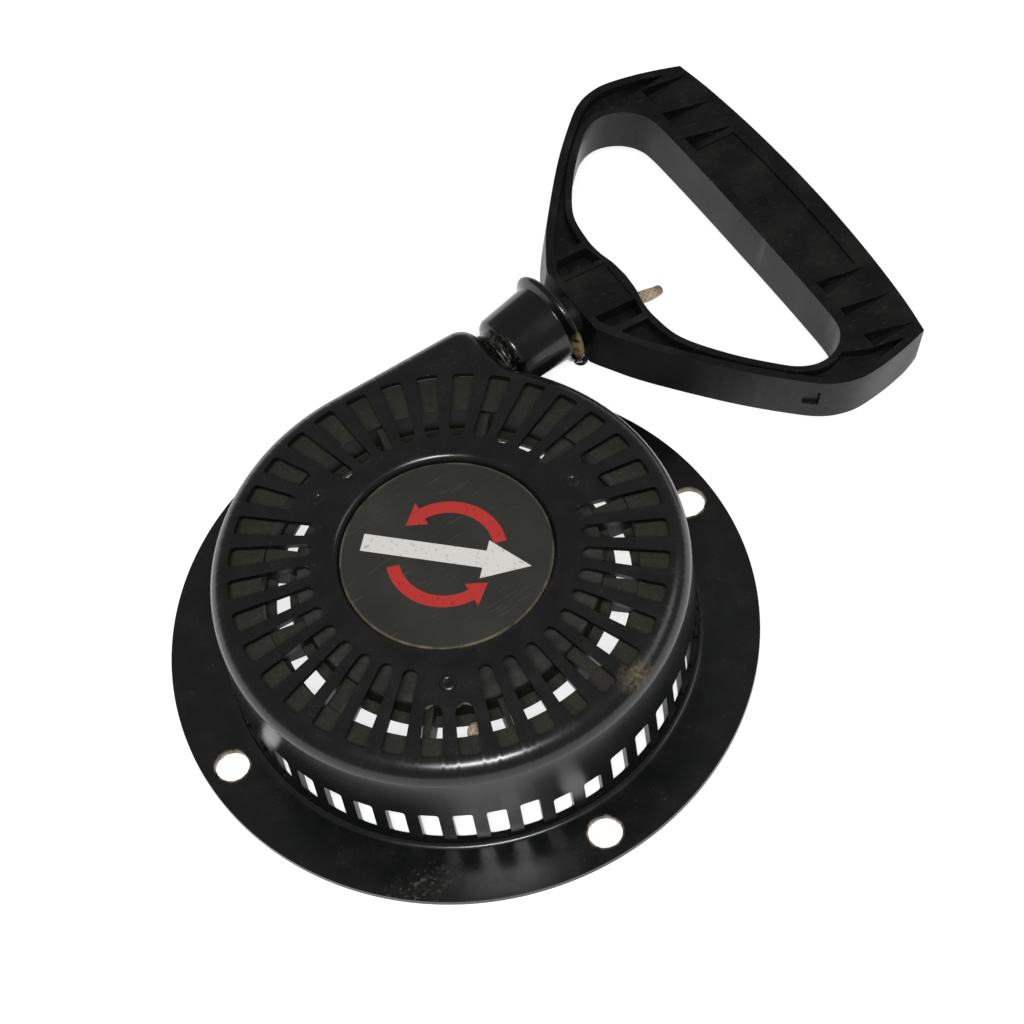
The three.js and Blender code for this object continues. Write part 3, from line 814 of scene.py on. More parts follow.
def add_crown(shell):
    """The recess and the crown round it, with the cells of the slots left out."""
    columns = crown_columns()
    floor = CROWN_HEIGHT - RECESS_DEPTH
    profile = [(6, floor), (20, floor), (32, floor), (RECESS_RADIUS - 0.3, floor)]
    profile += arc(RECESS_RADIUS + RECESS_DEPTH, floor, RECESS_DEPTH, 180, 90, 8)[1:]
    profile += [(41.6, CROWN_HEIGHT)]
    rows = [shell.row([polar(r, turn, z) for turn, _, _ in columns]) for r, z in profile]
    shell.faces.append(list(rows[0]))
    short_slots = {i for i in range(SLOT_COUNT) if is_near(SLOT_PITCH * (i + 0.5), RIVET_ANGLES, 6)}
    slot_rows = []
    for number, radius in enumerate(CROWN_ROWS):
        points = []
        for turn, slot, offset in columns:
            reach = radius
            inside = abs(offset) <= SLOT_HALF_ANGLE
            first = SHORT_ROW if slot in short_slots else INNER_ROW
            if inside and number == first:
                inner = SLOT_SHORT if slot in short_slots else SLOT_INNER
                reach = slot_inner_end(inner, math.radians(offset))
            elif inside and number == OUTER_ROW:
                from_edge = math.radians(SLOT_HALF_ANGLE - abs(offset)) * SLOT_OUTER
                reach = SLOT_OUTER - corner_drop(from_edge, SLOT_CORNER)
            points.append(polar(reach, turn, crown_height(reach)))
        slot_rows.append(shell.row(points))
    for inner, outer in zip(rows, rows[1:] + slot_rows[:1]):
        shell.strip(inner, outer)
    for number, (inner, outer) in enumerate(zip(slot_rows, slot_rows[1:])):
        skip = set()
        for place, (_, slot, offset) in enumerate(columns):
            first = SHORT_ROW if slot in short_slots else INNER_ROW
            if number >= first and -SLOT_HALF_ANGLE <= offset < SLOT_HALF_ANGLE:
                skip.add(place)
        shell.strip(inner, outer, skip)
    return columns, slot_rows[-1]


def add_shoulder(shell, columns, edge):
    """From the crown's edge over the shoulder and down the upper wall."""
    first_tilt = math.atan(CROWN_SLOPE)
    arc_length = SHOULDER_RADIUS * (math.pi / 2 - first_tilt)
    previous = edge
    for step in range(1, SHOULDER_STEPS + 1):
        points = []
        for (turn, _, _), index in zip(columns, edge):
            wall, normal = bell_outline(turn)
            base = wall - normal * SHOULDER_RADIUS
            base.z = WALL_TOP
            lip = base + normal * SHOULDER_RADIUS * math.sin(first_tilt)
            lip.z += SHOULDER_RADIUS * math.cos(first_tilt)
            start = shell.points[index]
            plateau = max((lip - start).dot(normal), 0.0)
            here = (plateau + arc_length) * step / SHOULDER_STEPS
            if here < plateau:
                points.append(start.lerp(lip, here / plateau))
                continue
            tilt = first_tilt + (here - plateau) / SHOULDER_RADIUS
            points.append(base + normal * SHOULDER_RADIUS * math.sin(tilt)
                          + Vector((0, 0, SHOULDER_RADIUS * math.cos(tilt))))
        previous = shell.extend(previous, points)
    for height in UPPER_WALL_ROWS:
        previous = shell.extend(previous, [bell_outline(turn)[0] + Vector((0, 0, height))
                                           for turn, _, _ in columns])
    return previous


NOSE_COLUMNS = 40


def wall_columns():
    """(turn, window's kind, offset from its middle). Kind is long, short or none."""
    edge = WINDOW_HALF
    offsets = (-edge, -edge + 0.3, -1.3, 0, 1.3, edge - 0.3, edge, 4.0)
    columns = []
    for i in range(round(360 / WINDOW_PITCH)):
        middle = from_start(WINDOW_PHASE + (i + 0.5) * WINDOW_PITCH)
        nosed = middle > NOSE_START - 5 or middle < WALL_START + 2
        kind = "none" if nosed else "short" if is_near(middle, (0, 180, 270), 6.5) else "long"
        columns += [(middle + offset, kind, offset) for offset in offsets
                    if WALL_START <= middle + offset < NOSE_START - 0.4]
    for i in range(NOSE_COLUMNS):
        columns.append((NOSE_START + (NOSE_END - NOSE_START) * i / NOSE_COLUMNS, "none", 0))
    return sorted(columns)


WALL_ROWS = (30.5, 26.5, WINDOW_TOP, 21.0, WINDOW_SHORT_TOP, 16.2, 13.0, 9.8, 7.2, WINDOW_BOTTOM)
TOP_ROW, SHORT_TOP_ROW, BOTTOM_ROW = 2, 4, 9
FLANGE_ROWS = (84.8, 88.4, 92.0, 95.6, 99.2)
FILLET_STEPS = 5
HOLE_PATCH = 7.6                     # half of the flange's patch that a bolt hole replaces


def add_lower_wall(shell):
    """The wall with its windows left out, and the fillet that leads into the flange."""
    columns = wall_columns()
    rows = []
    for number, height in enumerate(WALL_ROWS):
        points = []
        for turn, kind, offset in columns:
            z = height
            top_row = TOP_ROW if kind == "long" else SHORT_TOP_ROW
            if kind != "none" and abs(offset) <= WINDOW_HALF and number in (top_row, BOTTOM_ROW):
                from_edge = math.radians(WINDOW_HALF - abs(offset)) * WALL_RADIUS
                drop = corner_drop(from_edge, WINDOW_CORNER)
                z += drop if number == BOTTOM_ROW else -drop
            points.append(bell_outline(turn)[0] + Vector((0, 0, z)))
        rows.append(shell.row(points))
    for number, (upper, lower) in enumerate(zip(rows, rows[1:])):
        skip = set()
        for place, (_, kind, offset) in enumerate(columns):
            first = TOP_ROW if kind == "long" else SHORT_TOP_ROW
            if kind != "none" and number >= first and -WINDOW_HALF <= offset < WINDOW_HALF:
                skip.add(place)
        shell.strip(upper, lower, skip)
    previous = rows[-1]
    for step in range(FILLET_STEPS + 1):
        tilt = math.radians(90 * step / FILLET_STEPS)
        out = FILLET_RADIUS * (1 - math.cos(tilt))
        height = SHEET + FILLET_RADIUS * (1 - math.sin(tilt))
        points = []
        for turn, _, _ in columns:
            wall, normal = bell_outline(turn)
            points.append(wall + normal * out + Vector((0, 0, height)))
        previous = shell.extend(previous, points)
    return columns, rows[0], previous


def add_flange(shell, columns, fillet_row):
    """The flat flange, with a patch round each bolt hole replaced by rings."""
    inner_radius = WALL_RADIUS + FILLET_RADIUS
    rows = []
    for radius in FLANGE_ROWS + (FLANGE_RADIUS,):
        share = (radius - inner_radius) / (FLANGE_RADIUS - inner_radius)
        points = []
        for index in fillet_row:
            start = shell.points[index]
            flat = Vector((start.x, start.y, 0))
            points.append(start.lerp(flat.normalized() * FLANGE_RADIUS + Vector((0, 0, SHEET)), share))
        rows.append(shell.row(points))
    holes = []
    count = len(columns)
    middle_row = rows[2]
    for angle in BOLT_ANGLES:
        centre = polar(BOLT_CIRCLE, angle, SHEET)
        near = [c for c in range(count) if (shell.points[middle_row[c]] - centre).length < HOLE_PATCH]
        if 0 in near and count - 1 in near:
            near = [c - count if c > count / 2 else c for c in near]
        holes.append((min(near), max(near), centre))
    cut_cells = {c % count for first, last, _ in holes for c in range(first, last)}
    shell.strip(fillet_row, rows[0])
    for number, (inner, outer) in enumerate(zip(rows, rows[1:])):
        shell.strip(inner, outer, cut_cells if number < len(FLANGE_ROWS) - 1 else ())
    for first, last, centre in holes:
        shell.bolt_hole(rows[:len(FLANGE_ROWS)], first, last, centre)


def make_housing():
    """One pressing: recessed, slotted crown, rounded shoulder, windowed wall, nose and flange."""
    shell = Shell()
    columns, edge = add_crown(shell)
    upper = add_shoulder(shell, columns, edge)
    wall, lower, fillet_row = add_lower_wall(shell)
    shell.zip_rows(upper, [c[0] for c in columns], lower, [c[0] for c in wall])
    add_flange(shell, wall, fillet_row)
    housing = new_piece("bell_housing", shell.points, shell.faces)
    form = bmesh.new()
    form.from_mesh(housing.data)
    bmesh.ops.recalc_face_normals(form, faces=form.faces)
    if sum(face.normal.z * face.calc_area() for face in form.faces) < 0:
        bmesh.ops.reverse_faces(form, faces=form.faces)
    form.to_mesh(housing.data)
    form.free()
    wall_thickness = housing.modifiers.new("sheet", "SOLIDIFY")
    wall_thickness.thickness = SHEET * MM
    wall_thickness.offset = -1
    wall_thickness.use_even_offset = True
    apply_modifiers(housing)
    soften(housing, 0.5, angle=50)
    return finish(housing, enamel, "housing_paint", "housing_assembly", "housing")


make_housing()


# ---- patterns that repeat or follow a path -------------------------------------
def new_tree(name, sockets):
    """A Geometry Nodes tree with a geometry input, named inputs and a geometry output."""
    tree = bpy.data.node_groups.new(name, "GeometryNodeTree")
    tree.interface.new_socket("Geometry", in_out="OUTPUT", socket_type="NodeSocketGeometry")
    tree.interface.new_socket("Geometry", in_out="INPUT", socket_type="NodeSocketGeometry")
    for label, kind in sockets:
        tree.interface.new_socket(label, in_out="INPUT", socket_type=kind)
    return tree, tree.nodes.new("NodeGroupInput")


def close_tree(tree, source, geometry):
    """Ends a tree in Realize Instances and Set Material."""
    real = add_node(tree, "GeometryNodeRealizeInstances", {0: geometry}).outputs[0]
    painted = add_node(tree, "GeometryNodeSetMaterial",
                       {"Geometry": real, "Material": source.outputs["Material"]}).outputs[0]
    add_node(tree, "NodeGroupOutput", {0: painted})


def ring_tree():
    """Copies the piece round the Z axis. The piece is built at the origin, pointing along +X."""
    tree, source = new_tree("ring_of_copies", [
        ("Count", "NodeSocketInt"), ("Radius", "NodeSocketFloat"), ("Start", "NodeSocketFloat"),
        ("Material", "NodeSocketMaterial")])
    circle = add_node(tree, "GeometryNodeMeshCircle",
                      {"Vertices": source.outputs["Count"], "Radius": source.outputs["Radius"]})
    number = add_node(tree, "GeometryNodeInputIndex").outputs[0]
    step = add_node(tree, "ShaderNodeMath", {0: 2 * math.pi, 1: source.outputs["Count"]},
                    operation="DIVIDE").outputs[0]
    turn = add_node(tree, "ShaderNodeMath", {0: number, 1: step}, operation="MULTIPLY").outputs[0]
    facing = add_node(tree, "ShaderNodeCombineXYZ", {"Z": turn}).outputs[0]
    copies = add_node(tree, "GeometryNodeInstanceOnPoints", {
        "Points": circle.outputs[0], "Instance": source.outputs["Geometry"], "Rotation": facing})
    start = add_node(tree, "ShaderNodeCombineXYZ", {"Z": source.outputs["Start"]}).outputs[0]
    turned = add_node(tree, "GeometryNodeTransform", {"Geometry": copies.outputs[0], "Rotation": start})
    close_tree(tree, source, turned.outputs[0])
    return tree


def coil_tree(flat):
    """Winds round wire, or a flat band, along a spiral about +Z."""
    tree, source = new_tree("wound_band" if flat else "wound_wire", [
        ("Turns", "NodeSocketFloat"), ("Start Radius", "NodeSocketFloat"),
        ("End Radius", "NodeSocketFloat"), ("Rise", "NodeSocketFloat"),
        ("Thickness", "NodeSocketFloat"), ("Width", "NodeSocketFloat"), ("Material", "NodeSocketMaterial")])
    spiral = add_node(tree, "GeometryNodeCurveSpiral", {
        "Resolution": 40, "Rotations": source.outputs["Turns"],
        "Start Radius": source.outputs["Start Radius"], "End Radius": source.outputs["End Radius"],
        "Height": source.outputs["Rise"]})
    if flat:
        section = add_node(tree, "GeometryNodeCurvePrimitiveQuadrilateral", {
            "Width": source.outputs["Thickness"], "Height": source.outputs["Width"]})
    else:
        section = add_node(tree, "GeometryNodeCurvePrimitiveCircle", {
            "Resolution": 12, "Radius": source.outputs["Thickness"]})
    upright = add_node(tree, "GeometryNodeSetCurveNormal", {"Curve": spiral.outputs[0]})
    upright.mode = "Z_UP"
    body = add_node(tree, "GeometryNodeCurveToMesh", {
        "Curve": upright.outputs[0], "Profile Curve": section.outputs[0], "Fill Caps": True})
    close_tree(tree, source, body.outputs[0])
    return tree


def grow(piece, tree, **values):
    """Runs a tree on a piece and keeps the result as a plain mesh."""
    change = piece.modifiers.new("grow", "NODES")
    change.node_group = tree
    sockets = {item.name: item.identifier for item in tree.interface.items_tree
               if item.item_type == "SOCKET" and item.in_out == "INPUT"}
    for name, value in values.items():
        change[sockets[name.replace("_", " ")]] = value
    return apply_modifiers(piece)


RING = ring_tree()
WIRE = coil_tree(flat=False)
BAND = coil_tree(flat=True)


def ring_of(piece, count, radius, start, material):
    """Copies round the reel's axis, the first at start degrees."""
    return grow(piece, RING, Count=count, Radius=radius * MM, Start=math.radians(start), Material=material)


def wire_coil(name, radius, wire, turns, bottom, rise, material):
    """Round wire of a given thickness wound about the reel's axis."""
    coil = grow(new_piece(name, [], []), WIRE, Turns=turns, Start_Radius=radius * MM,
                End_Radius=radius * MM, Rise=rise * MM, Thickness=wire / 2 * MM, Material=material)
    return outward(lift(coil, bottom))


# ---- label ---------------------------------------------------------------------
LABEL_TOP = cad("label_disc")[1].z
LABEL_RADIUS = cad("label_disc")[1].x
PRINT_TURN = math.radians(-43.6)     # how the print is turned on the label


def printed(name, outline, ink):
    """A mark on the label, as a film of ink in relief."""
    turned = [Matrix.Rotation(PRINT_TURN, 2) @ Vector(p) for p in outline]
    mark = prism(name, turned, LABEL_TOP - 0.05, LABEL_TOP + 0.05)
    finish(mark, ink, "label", "housing_assembly")


def make_label():
    """The label with a generic sign: pull straight out, the reel turns."""
    floor = CROWN_HEIGHT - RECESS_DEPTH
    disc = lathe("label_sheet", [(0, floor - 0.05), (LABEL_RADIUS, floor - 0.05),
                                 (LABEL_RADIUS, LABEL_TOP - 0.25), (LABEL_RADIUS - 0.25, LABEL_TOP),
                                 (0, LABEL_TOP)], 128)
    finish(smooth(disc), film, "label", "housing_assembly", "label_disc")
    printed("pull_sign", [(-29, -3.3), (13, -3.3), (13, -7.4), (29, 0), (13, 7.4), (13, 3.3), (-29, 3.3)],
            white_ink)
    for name, start in (("upper_turn_sign", 24), ("lower_turn_sign", 204)):
        end = start + 106
        outside = arc(0, 0, 20.4, start, end, 24)
        tip = [polar(23.0, end).xy, polar(18.2, end + 22).xy, polar(13.4, end).xy]
        printed(name, outside + [tuple(p) for p in tip] + arc(0, 0, 16.0, end, start, 24), red_ink)


# ---- spindle bracket and rivets -------------------------------------------------
def make_rivets():
    """Rivet heads just proud of the crown, each with a centre dimple, on shanks that reach the bracket."""
    head = crown_height(RIVET_CIRCLE)
    foot = cad("rivet_1")[0].z
    profile = [(0, head + 0.15), (0.8, head + 0.2), (1.3, head + 0.65), (2.0, head + 0.75),
               (2.7, head + 0.45), (3.0, head - 0.1), (2.5, head - 1.0), (2.5, foot + 1.3),
               (4.4, foot + 1.3), (4.2, foot + 0.6), (3.6, foot), (0, foot)]
    rivet = lathe("crown_rivets", profile, 40)
    lift(rivet, -head)
    move(rivet, Matrix.Rotation(math.radians(7), 4, "Y"))
    lift(rivet, head)
    ring_of(rivet, len(RIVET_ANGLES), RIVET_CIRCLE, RIVET_ANGLES[0], enamel)
    smooth(outward(rivet), 35)
    finish(rivet, enamel, "housing_paint", "housing_assembly", "rivet_1", "rivet_2", "rivet_3")


def dress(node, material):
    """Keeps a CAD node's shape and gives it its finish and softened edges."""
    item = bpy.data.objects[node]
    for holder in item.material_slots:
        holder.material = material
    round_edges(item, 0.25)


# ---- rope guide -----------------------------------------------------------------
def make_guide():
    """The cup that the handle parks against, with its neck, rolled rim and funnel mouth."""
    rim = [(16.3 + 1.6 * math.cos(math.radians(a)), 26.2 + 1.4 * math.sin(math.radians(a)))
           for a in range(-70, 111, 20)]
    profile = [(3.8, -7), (7, -7), (7, 0.3), (10.4, 0.3), (10.4, 1.1), (9.7, 1.6), (9.7, 2.4), (10.4, 2.9),
               (10.6, 3.4), (11.8, 3.7), (13.0, 4.5), (13.7, 5.7), (15.0, 23.7)]
    profile += rim + [(14.3, 26.9), (13.4, 23.5), (12.6, 18), (11, 10.4), (9.6, 8.7), (5.3, 8), (3.8, 6.5)]
    cup = lathe("rope_guide_cup", profile, 96)
    move(cup, aim(GUIDE_POINT, GUIDE_AXIS))
    soften(cup, 0.3, angle=50)
    finish(cup, guide_nylon, "guide_plastic", "housing_assembly", "guide_cup")
    lip = GUIDE_POINT + GUIDE_AXIS * 26.6 + GUIDE_SIDE * -15.4 + Vector((0, 0, -9.4))
    path = [lip + Vector(p) for p in ((-2.6, 0.4, 0.6), (-0.6, -0.2, -0.3), (1.2, -0.2, -0.3), (2.8, 0.5, 0.7))]
    flash = sweep("guide_lip_flash", spline(path, 6), lambda t, a: 0.35 + 1.1 * math.sin(math.pi * t))
    finish(smooth(outward(flash)), guide_nylon, "guide_plastic", "housing_assembly")


# ---- reel -----------------------------------------------------------------------
REEL_BOTTOM = GROOVE_HEIGHT - 7.0
RIM_INNER = GROOVE_FLOOR - 0.9
RIM_LIP = 60.4                       # inside of the lip round the rim's lower edge
WEB_OUTER = 55.2                     # the low ring outside the spring well
WEB_BOTTOM = REEL_BOTTOM + 5.0
WEB_TOP = REEL_BOTTOM + 6.2
WELL_OUTER = cad("spring_cover")[1].x
HUB_RADIUS = 11.0
POST_RADIUS = 7.5
PAWL_PIVOT = 27.0
PAWL_POST = 3.0
SPOKE_START = 20.0                   # degrees
SPOKE_COUNT = 12


def make_reel():
    """Rope rim, spring well and spokes between them, with the posts that the pawls turn on."""
    top, low = REEL_TOP, REEL_BOTTOM
    rim = lathe("rim", [(RIM_LIP, low), (REEL_RADIUS, low), (REEL_RADIUS, low + 1.5),
                        (GROOVE_FLOOR + 0.8, low + 2.2), (GROOVE_FLOOR, low + 3.0), (GROOVE_FLOOR, top - 3.0),
                        (GROOVE_FLOOR + 0.8, top - 2.2), (REEL_RADIUS, top - 1.5), (REEL_RADIUS, top),
                        (RIM_INNER, top), (RIM_INNER, low + 2.2), (RIM_LIP, low + 2.2)], 144)
    well = lathe("well", [(POST_RADIUS, 24.5), (HUB_RADIUS, 24.5), (HUB_RADIUS, low), (WELL_OUTER, low),
                          (WELL_OUTER, WEB_BOTTOM), (WEB_OUTER, WEB_BOTTOM), (WEB_OUTER, WEB_TOP),
                          (WELL_OUTER, WEB_TOP), (WELL_OUTER, top), (WELL_OUTER - REEL_WALL, top),
                          (WELL_OUTER - REEL_WALL, low + REEL_WALL), (POST_RADIUS, low + REEL_WALL)], 120)
    length = RIM_INNER - WELL_OUTER + 1.6
    outline = [(-length / 2, -3.0), (length / 2, -3.4), (length / 2, 3.4), (-length / 2, 3.0)]
    spokes = prism("spokes", outline, low, low + 12)
    ring_of(spokes, SPOKE_COUNT, (RIM_INNER + WELL_OUTER) / 2, SPOKE_START, reel_nylon)
    ribs = prism("rim_ribs", [(-3.6, -0.5), (3.6, -0.5), (3.6, 0.5), (-3.6, 0.5)], top - 0.3, top + 0.35)
    ring_of(ribs, 24, RIM_INNER + 6.0, 5, reel_nylon)
    post = [(0, 22.8), (PAWL_POST - 0.3, 22.8), (PAWL_POST, 23.1), (PAWL_POST, low + 1), (0, low + 1)]
    posts = [move(lathe("post", post, 32), Matrix.Translation((x, 0, 0))) for x in (PAWL_PIVOT, -PAWL_PIVOT)]
    reel = join("rope_reel", [rim, well, spokes, ribs] + posts)
    soften(reel, 0.3)
    finish(reel, reel_nylon, "reel_plastic", "reel_assembly", "reel")


def make_spring_cover():
    """A thin plate over the spring with pressed ribs that stiffen it."""
    low, high = cad("spring_cover")
    plate = lathe("plate", [(9.5, low.z), (WELL_OUTER, low.z), (WELL_OUTER, high.z), (9.5, high.z)], 120)
    outline = arc(3.2, 0, 1.5, -90, 90, 6) + arc(-3.2, 0, 1.1, 90, 270, 6)
    ribs = prism("ribs", outline, high.z - 0.2, high.z + 0.45)
    ring_of(ribs, 18, 45.5, 4, dusty_zinc)
    cover = join("pressed_spring_cover", [plate, ribs])
    soften(cover, 0.2)
    finish(cover, dusty_zinc, "zinc_steel", "reel_assembly", "spring_cover")


def make_recoil_spring():
    """A flat band wound from the post out to the well's wall."""
    low, high = cad("recoil_spring")
    band = grow(new_piece("flat_recoil_spring", [], []), BAND, Turns=9.0, Start_Radius=8.6 * MM,
                End_Radius=(high.x - 0.5) * MM, Rise=0.0, Thickness=0.7 * MM,
                Width=(high.z - low.z) * MM, Material=springy)
    lift(band, (low.z + high.z) / 2)
    finish(smooth(outward(band)), springy, "spring_steel", "reel_assembly", "recoil_spring")


# ---- rope -----------------------------------------------------------------------
ANCHOR_TURN = 248.0                  # degrees
EXIT_TURN = 90.0


def ease(value):
    """0 to 1, with a soft start and end."""
    share = min(max(value, 0), 1)
    return share * share * (3 - 2 * share)


def make_winding():
    """Two turns side by side in the groove and the last half turn on top of them."""
    turns = 2 + (ANCHOR_TURN - EXIT_TURN) / 360
    steps, aside = 160, 2.45
    path = []
    for i in range(steps + 1):
        turn = turns * i / steps
        over = ease((turn - 0.9) / 0.2)
        up = ease((turn - 1.88) / 0.24)
        height = GROOVE_HEIGHT - aside + 2 * aside * over - aside * up
        path.append(polar(GROOVE_FLOOR + 2.4 + 3.6 * up, ANCHOR_TURN - 360 * turn, height))
    winding = smooth(sweep("wound_rope", path, ROPE_RADIUS, 14), 60)
    finish(winding, cord, "rope", "reel_assembly", "rope_winding")


def knot_path(size, stretch=1.0):
    """A trefoil about +Z, which looks like a tight stopper knot."""
    path = []
    for i in range(73):
        t = 2 * math.pi * i / 72
        path.append(Vector((math.sin(t) + 2 * math.sin(2 * t), math.cos(t) - 2 * math.cos(2 * t),
                            -stretch * math.sin(3 * t))) * size / 3)
    return path


def make_anchor_knot():
    """The stopper knot inside the rim that holds the rope's inner end."""
    outwards = polar(1, ANCHOR_TURN)
    place = aim(outwards * 59.0 + Vector((0, 0, GROOVE_HEIGHT)), outwards)
    knot = sweep("knot", [place @ p for p in knot_path(2.5, 1.3)], 1.75)
    stem = sweep("stem", [outwards * r + Vector((0, 0, GROOVE_HEIGHT)) for r in (59, 61, 63, 65, 66.6)],
                 ROPE_RADIUS, 14)
    piece = join("anchor_knot", [knot, stem])
    finish(smooth(piece, 60), cord, "rope", "reel_assembly", "rope_anchor_knot")


def make_lead():
    """The rope from the reel through the guide to the handle."""
    hub = HANDLE_PLACE @ Vector((-4.4, 0, 0))
    points = [Vector((4.0, 69.6, GROOVE_HEIGHT)), Vector((31.5, 68.6, GROOVE_HEIGHT)),
              Vector((44, 68.0, GROOVE_HEIGHT)), GUIDE_POINT.copy(), Vector((64.6, 68.1, GROOVE_HEIGHT)),
              Vector((70.5, 68.2, GROOVE_HEIGHT + 0.8)), hub]
    lead = sweep("drawn_rope", spline(points, 10), ROPE_RADIUS, 14)
    smooth(lead, 60)
    lead.data.materials.clear()
    lead.data.materials.append(drawn_cord)
    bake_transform(lead)
    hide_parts("rope_lead")


def make_tail():
    """The rope's end: through the hub, round the stopper knot and out into the finger loop, where
    the cut end is melted and crooked."""
    points = [(-3.7, 0, 0), (4, 0, 0), (12, 0, 0), (17.5, 0.4, 0.3), (23, -1.4, -1.0), (28.6, -2.6, -2.4),
              (35, -4.0, -2.6), (39.5, -4.8, -2.0), (43.0, -5.4, -1.2)]
    path = [HANDLE_PLACE @ Vector(p) for p in spline(points, 8)]
    rough = random.Random(7)
    lobes = [rough.uniform(0, 2 * math.pi) for _ in range(3)]

    def girth(share, angle):
        """Past the knot the end narrows, frays into lobes, splits and closes."""
        past = max(share - 0.74, 0) / 0.26
        taper = 1 - 0.42 * max(past - 0.25, 0)
        split = 0.5 * max(past - 0.45, 0) * math.cos(angle + lobes[2]) ** 12
        frayed = past * (0.22 * math.sin(3 * angle + lobes[0])
                         + 0.16 * math.sin(5 * angle + lobes[1] + 9 * past))
        closing = 1.0 if past < 0.8 else math.sqrt(max(1 - ((past - 0.8) / 0.21) ** 2, 0.03))
        return (ROPE_RADIUS + frayed) * (taper - split) * closing

    tail = sweep("tail", path, girth, 18)
    place = HANDLE_PLACE @ aim((17.5, 0, 0), (1, 0, 0))
    knot = sweep("knot", [place @ p for p in knot_path(3.0, 1.2)], 1.9)
    piece = join("rope_stub", [tail, knot])
    finish(smooth(piece, 60), cord_end, "rope", "rope_end", "rope_tail")


# ---- handle ---------------------------------------------------------------------
HANDLE_SIDE = [(5.5, 15), (8.6, 20), (18, 33), (38, 55), (55, 70.6), (63, 76.2), (70, 78.6), (77, 79.2),
               (88, 77.8), (98, 75.6), (106.6, 73.2)]
GRIP_EDGE = [(106.6, 73.2), (109.3, 58), (111.6, 36), (112.8, 14), (113.0, 0)]
LOOP_HALF = [(29.0, 0), (28.4, 7), (27.0, 13), (26.8, 21), (29.5, 33), (40, 47.5), (52, 59.6), (58, 64.2),
             (64, 66.2), (70, 65.8), (76, 63.0), (80, 58.4), (81.6, 52), (82.2, 34), (82.4, 16), (82.4, 0)]
RIM_OUT = 3.0                        # width of the raised rim round the outside
RIM_IN = 2.5                         # width of the raised rim round the finger loop
CHANNEL_DEPTH = 3.4
POCKET_DEPTH = 5.0
HUB_POCKET = [(8.5, 10.4), (8.5, 13.0), (11.4, 17.2), (24.0, 17.2), (25.6, 10.4)]
HUB_PAD = [(8.2, 0), (8.2, 8.4), (25.6, 8.4), (25.6, 0)]
CHANNEL_START = 20.0                 # half width where the arms' channels start, past the second rib
GRIP_PAD = 36.2                      # half length of the recessed pad on the grip
GROOVES = [(39.7, 39.2), (53.6, 53.4), (67.0, 68.4)]     # half width at a groove's root and tip
GROOVE_ROOT = 86.4
GROOVE_TIP = 106.0


def mirrored(half):
    """A closed outline from its half. A point on the middle line isn't repeated."""
    return list(half) + [(x, -w) for x, w in reversed(half) if w > 0.01]


def offset_line(points, distance):
    """The line moved sideways, to the right of its direction."""
    moved = []
    for i, (x, y) in enumerate(points):
        ax, ay = points[max(i - 1, 0)]
        bx, by = points[min(i + 1, len(points) - 1)]
        length = math.hypot(bx - ax, by - ay)
        moved.append((x + (by - ay) / length * distance, y - (bx - ax) / length * distance))
    return moved


def flat_spline(points, spacing=1.5):
    """A smooth flat line through the points, with its own points evenly spaced."""
    fine = spline([(x, y, 0) for x, y in points], 12)
    lengths = [0.0]
    for a, b in zip(fine, fine[1:]):
        lengths.append(lengths[-1] + (b - a).length)
    count = max(round(lengths[-1] / spacing), 1)
    line, k = [], 0
    for i in range(count + 1):
        target = lengths[-1] * i / count
        while k < len(fine) - 2 and lengths[k + 1] < target:
            k += 1
        share = (target - lengths[k]) / max(lengths[k + 1] - lengths[k], 1e-9)
        place = fine[k].lerp(fine[k + 1], min(max(share, 0), 1))
        line.append((place.x, place.y))
    return line


def both_sides(outlines, depth, name):
    """Cutters for the same pockets in both faces and on both sides of the handle."""
    tools = []
    for outline in outlines:
        for side in (1, -1):
            flipped = [(x, w * side) for x, w in outline]
            tools.append(prism(name, flipped, HANDLE_HALF - depth, HANDLE_HALF + 2))
            tools.append(prism(name, flipped, -HANDLE_HALF - 2, depth - HANDLE_HALF))
    return tools


def groove_cutter(root, tip, face):
    """A wedge that is deep and wide at the finger loop and runs out towards the outer edge."""
    half, depth, over = 3.3, 6.0, 2.0
    floor = HANDLE_HALF - depth
    points = [(GROOVE_ROOT, root - half, face * floor), (GROOVE_ROOT, root + half, face * floor),
              (GROOVE_ROOT, root - half, face * (HANDLE_HALF + over)),
              (GROOVE_ROOT, root + half, face * (HANDLE_HALF + over)),
              (GROOVE_TIP, tip, face * (HANDLE_HALF - 0.05)), (GROOVE_TIP, tip, face * (HANDLE_HALF + over))]
    faces = [[0, 1, 3, 2], [0, 4, 1], [2, 3, 5], [0, 2, 5, 4], [1, 4, 5, 3]]
    return outward(new_piece("groove", points, faces))


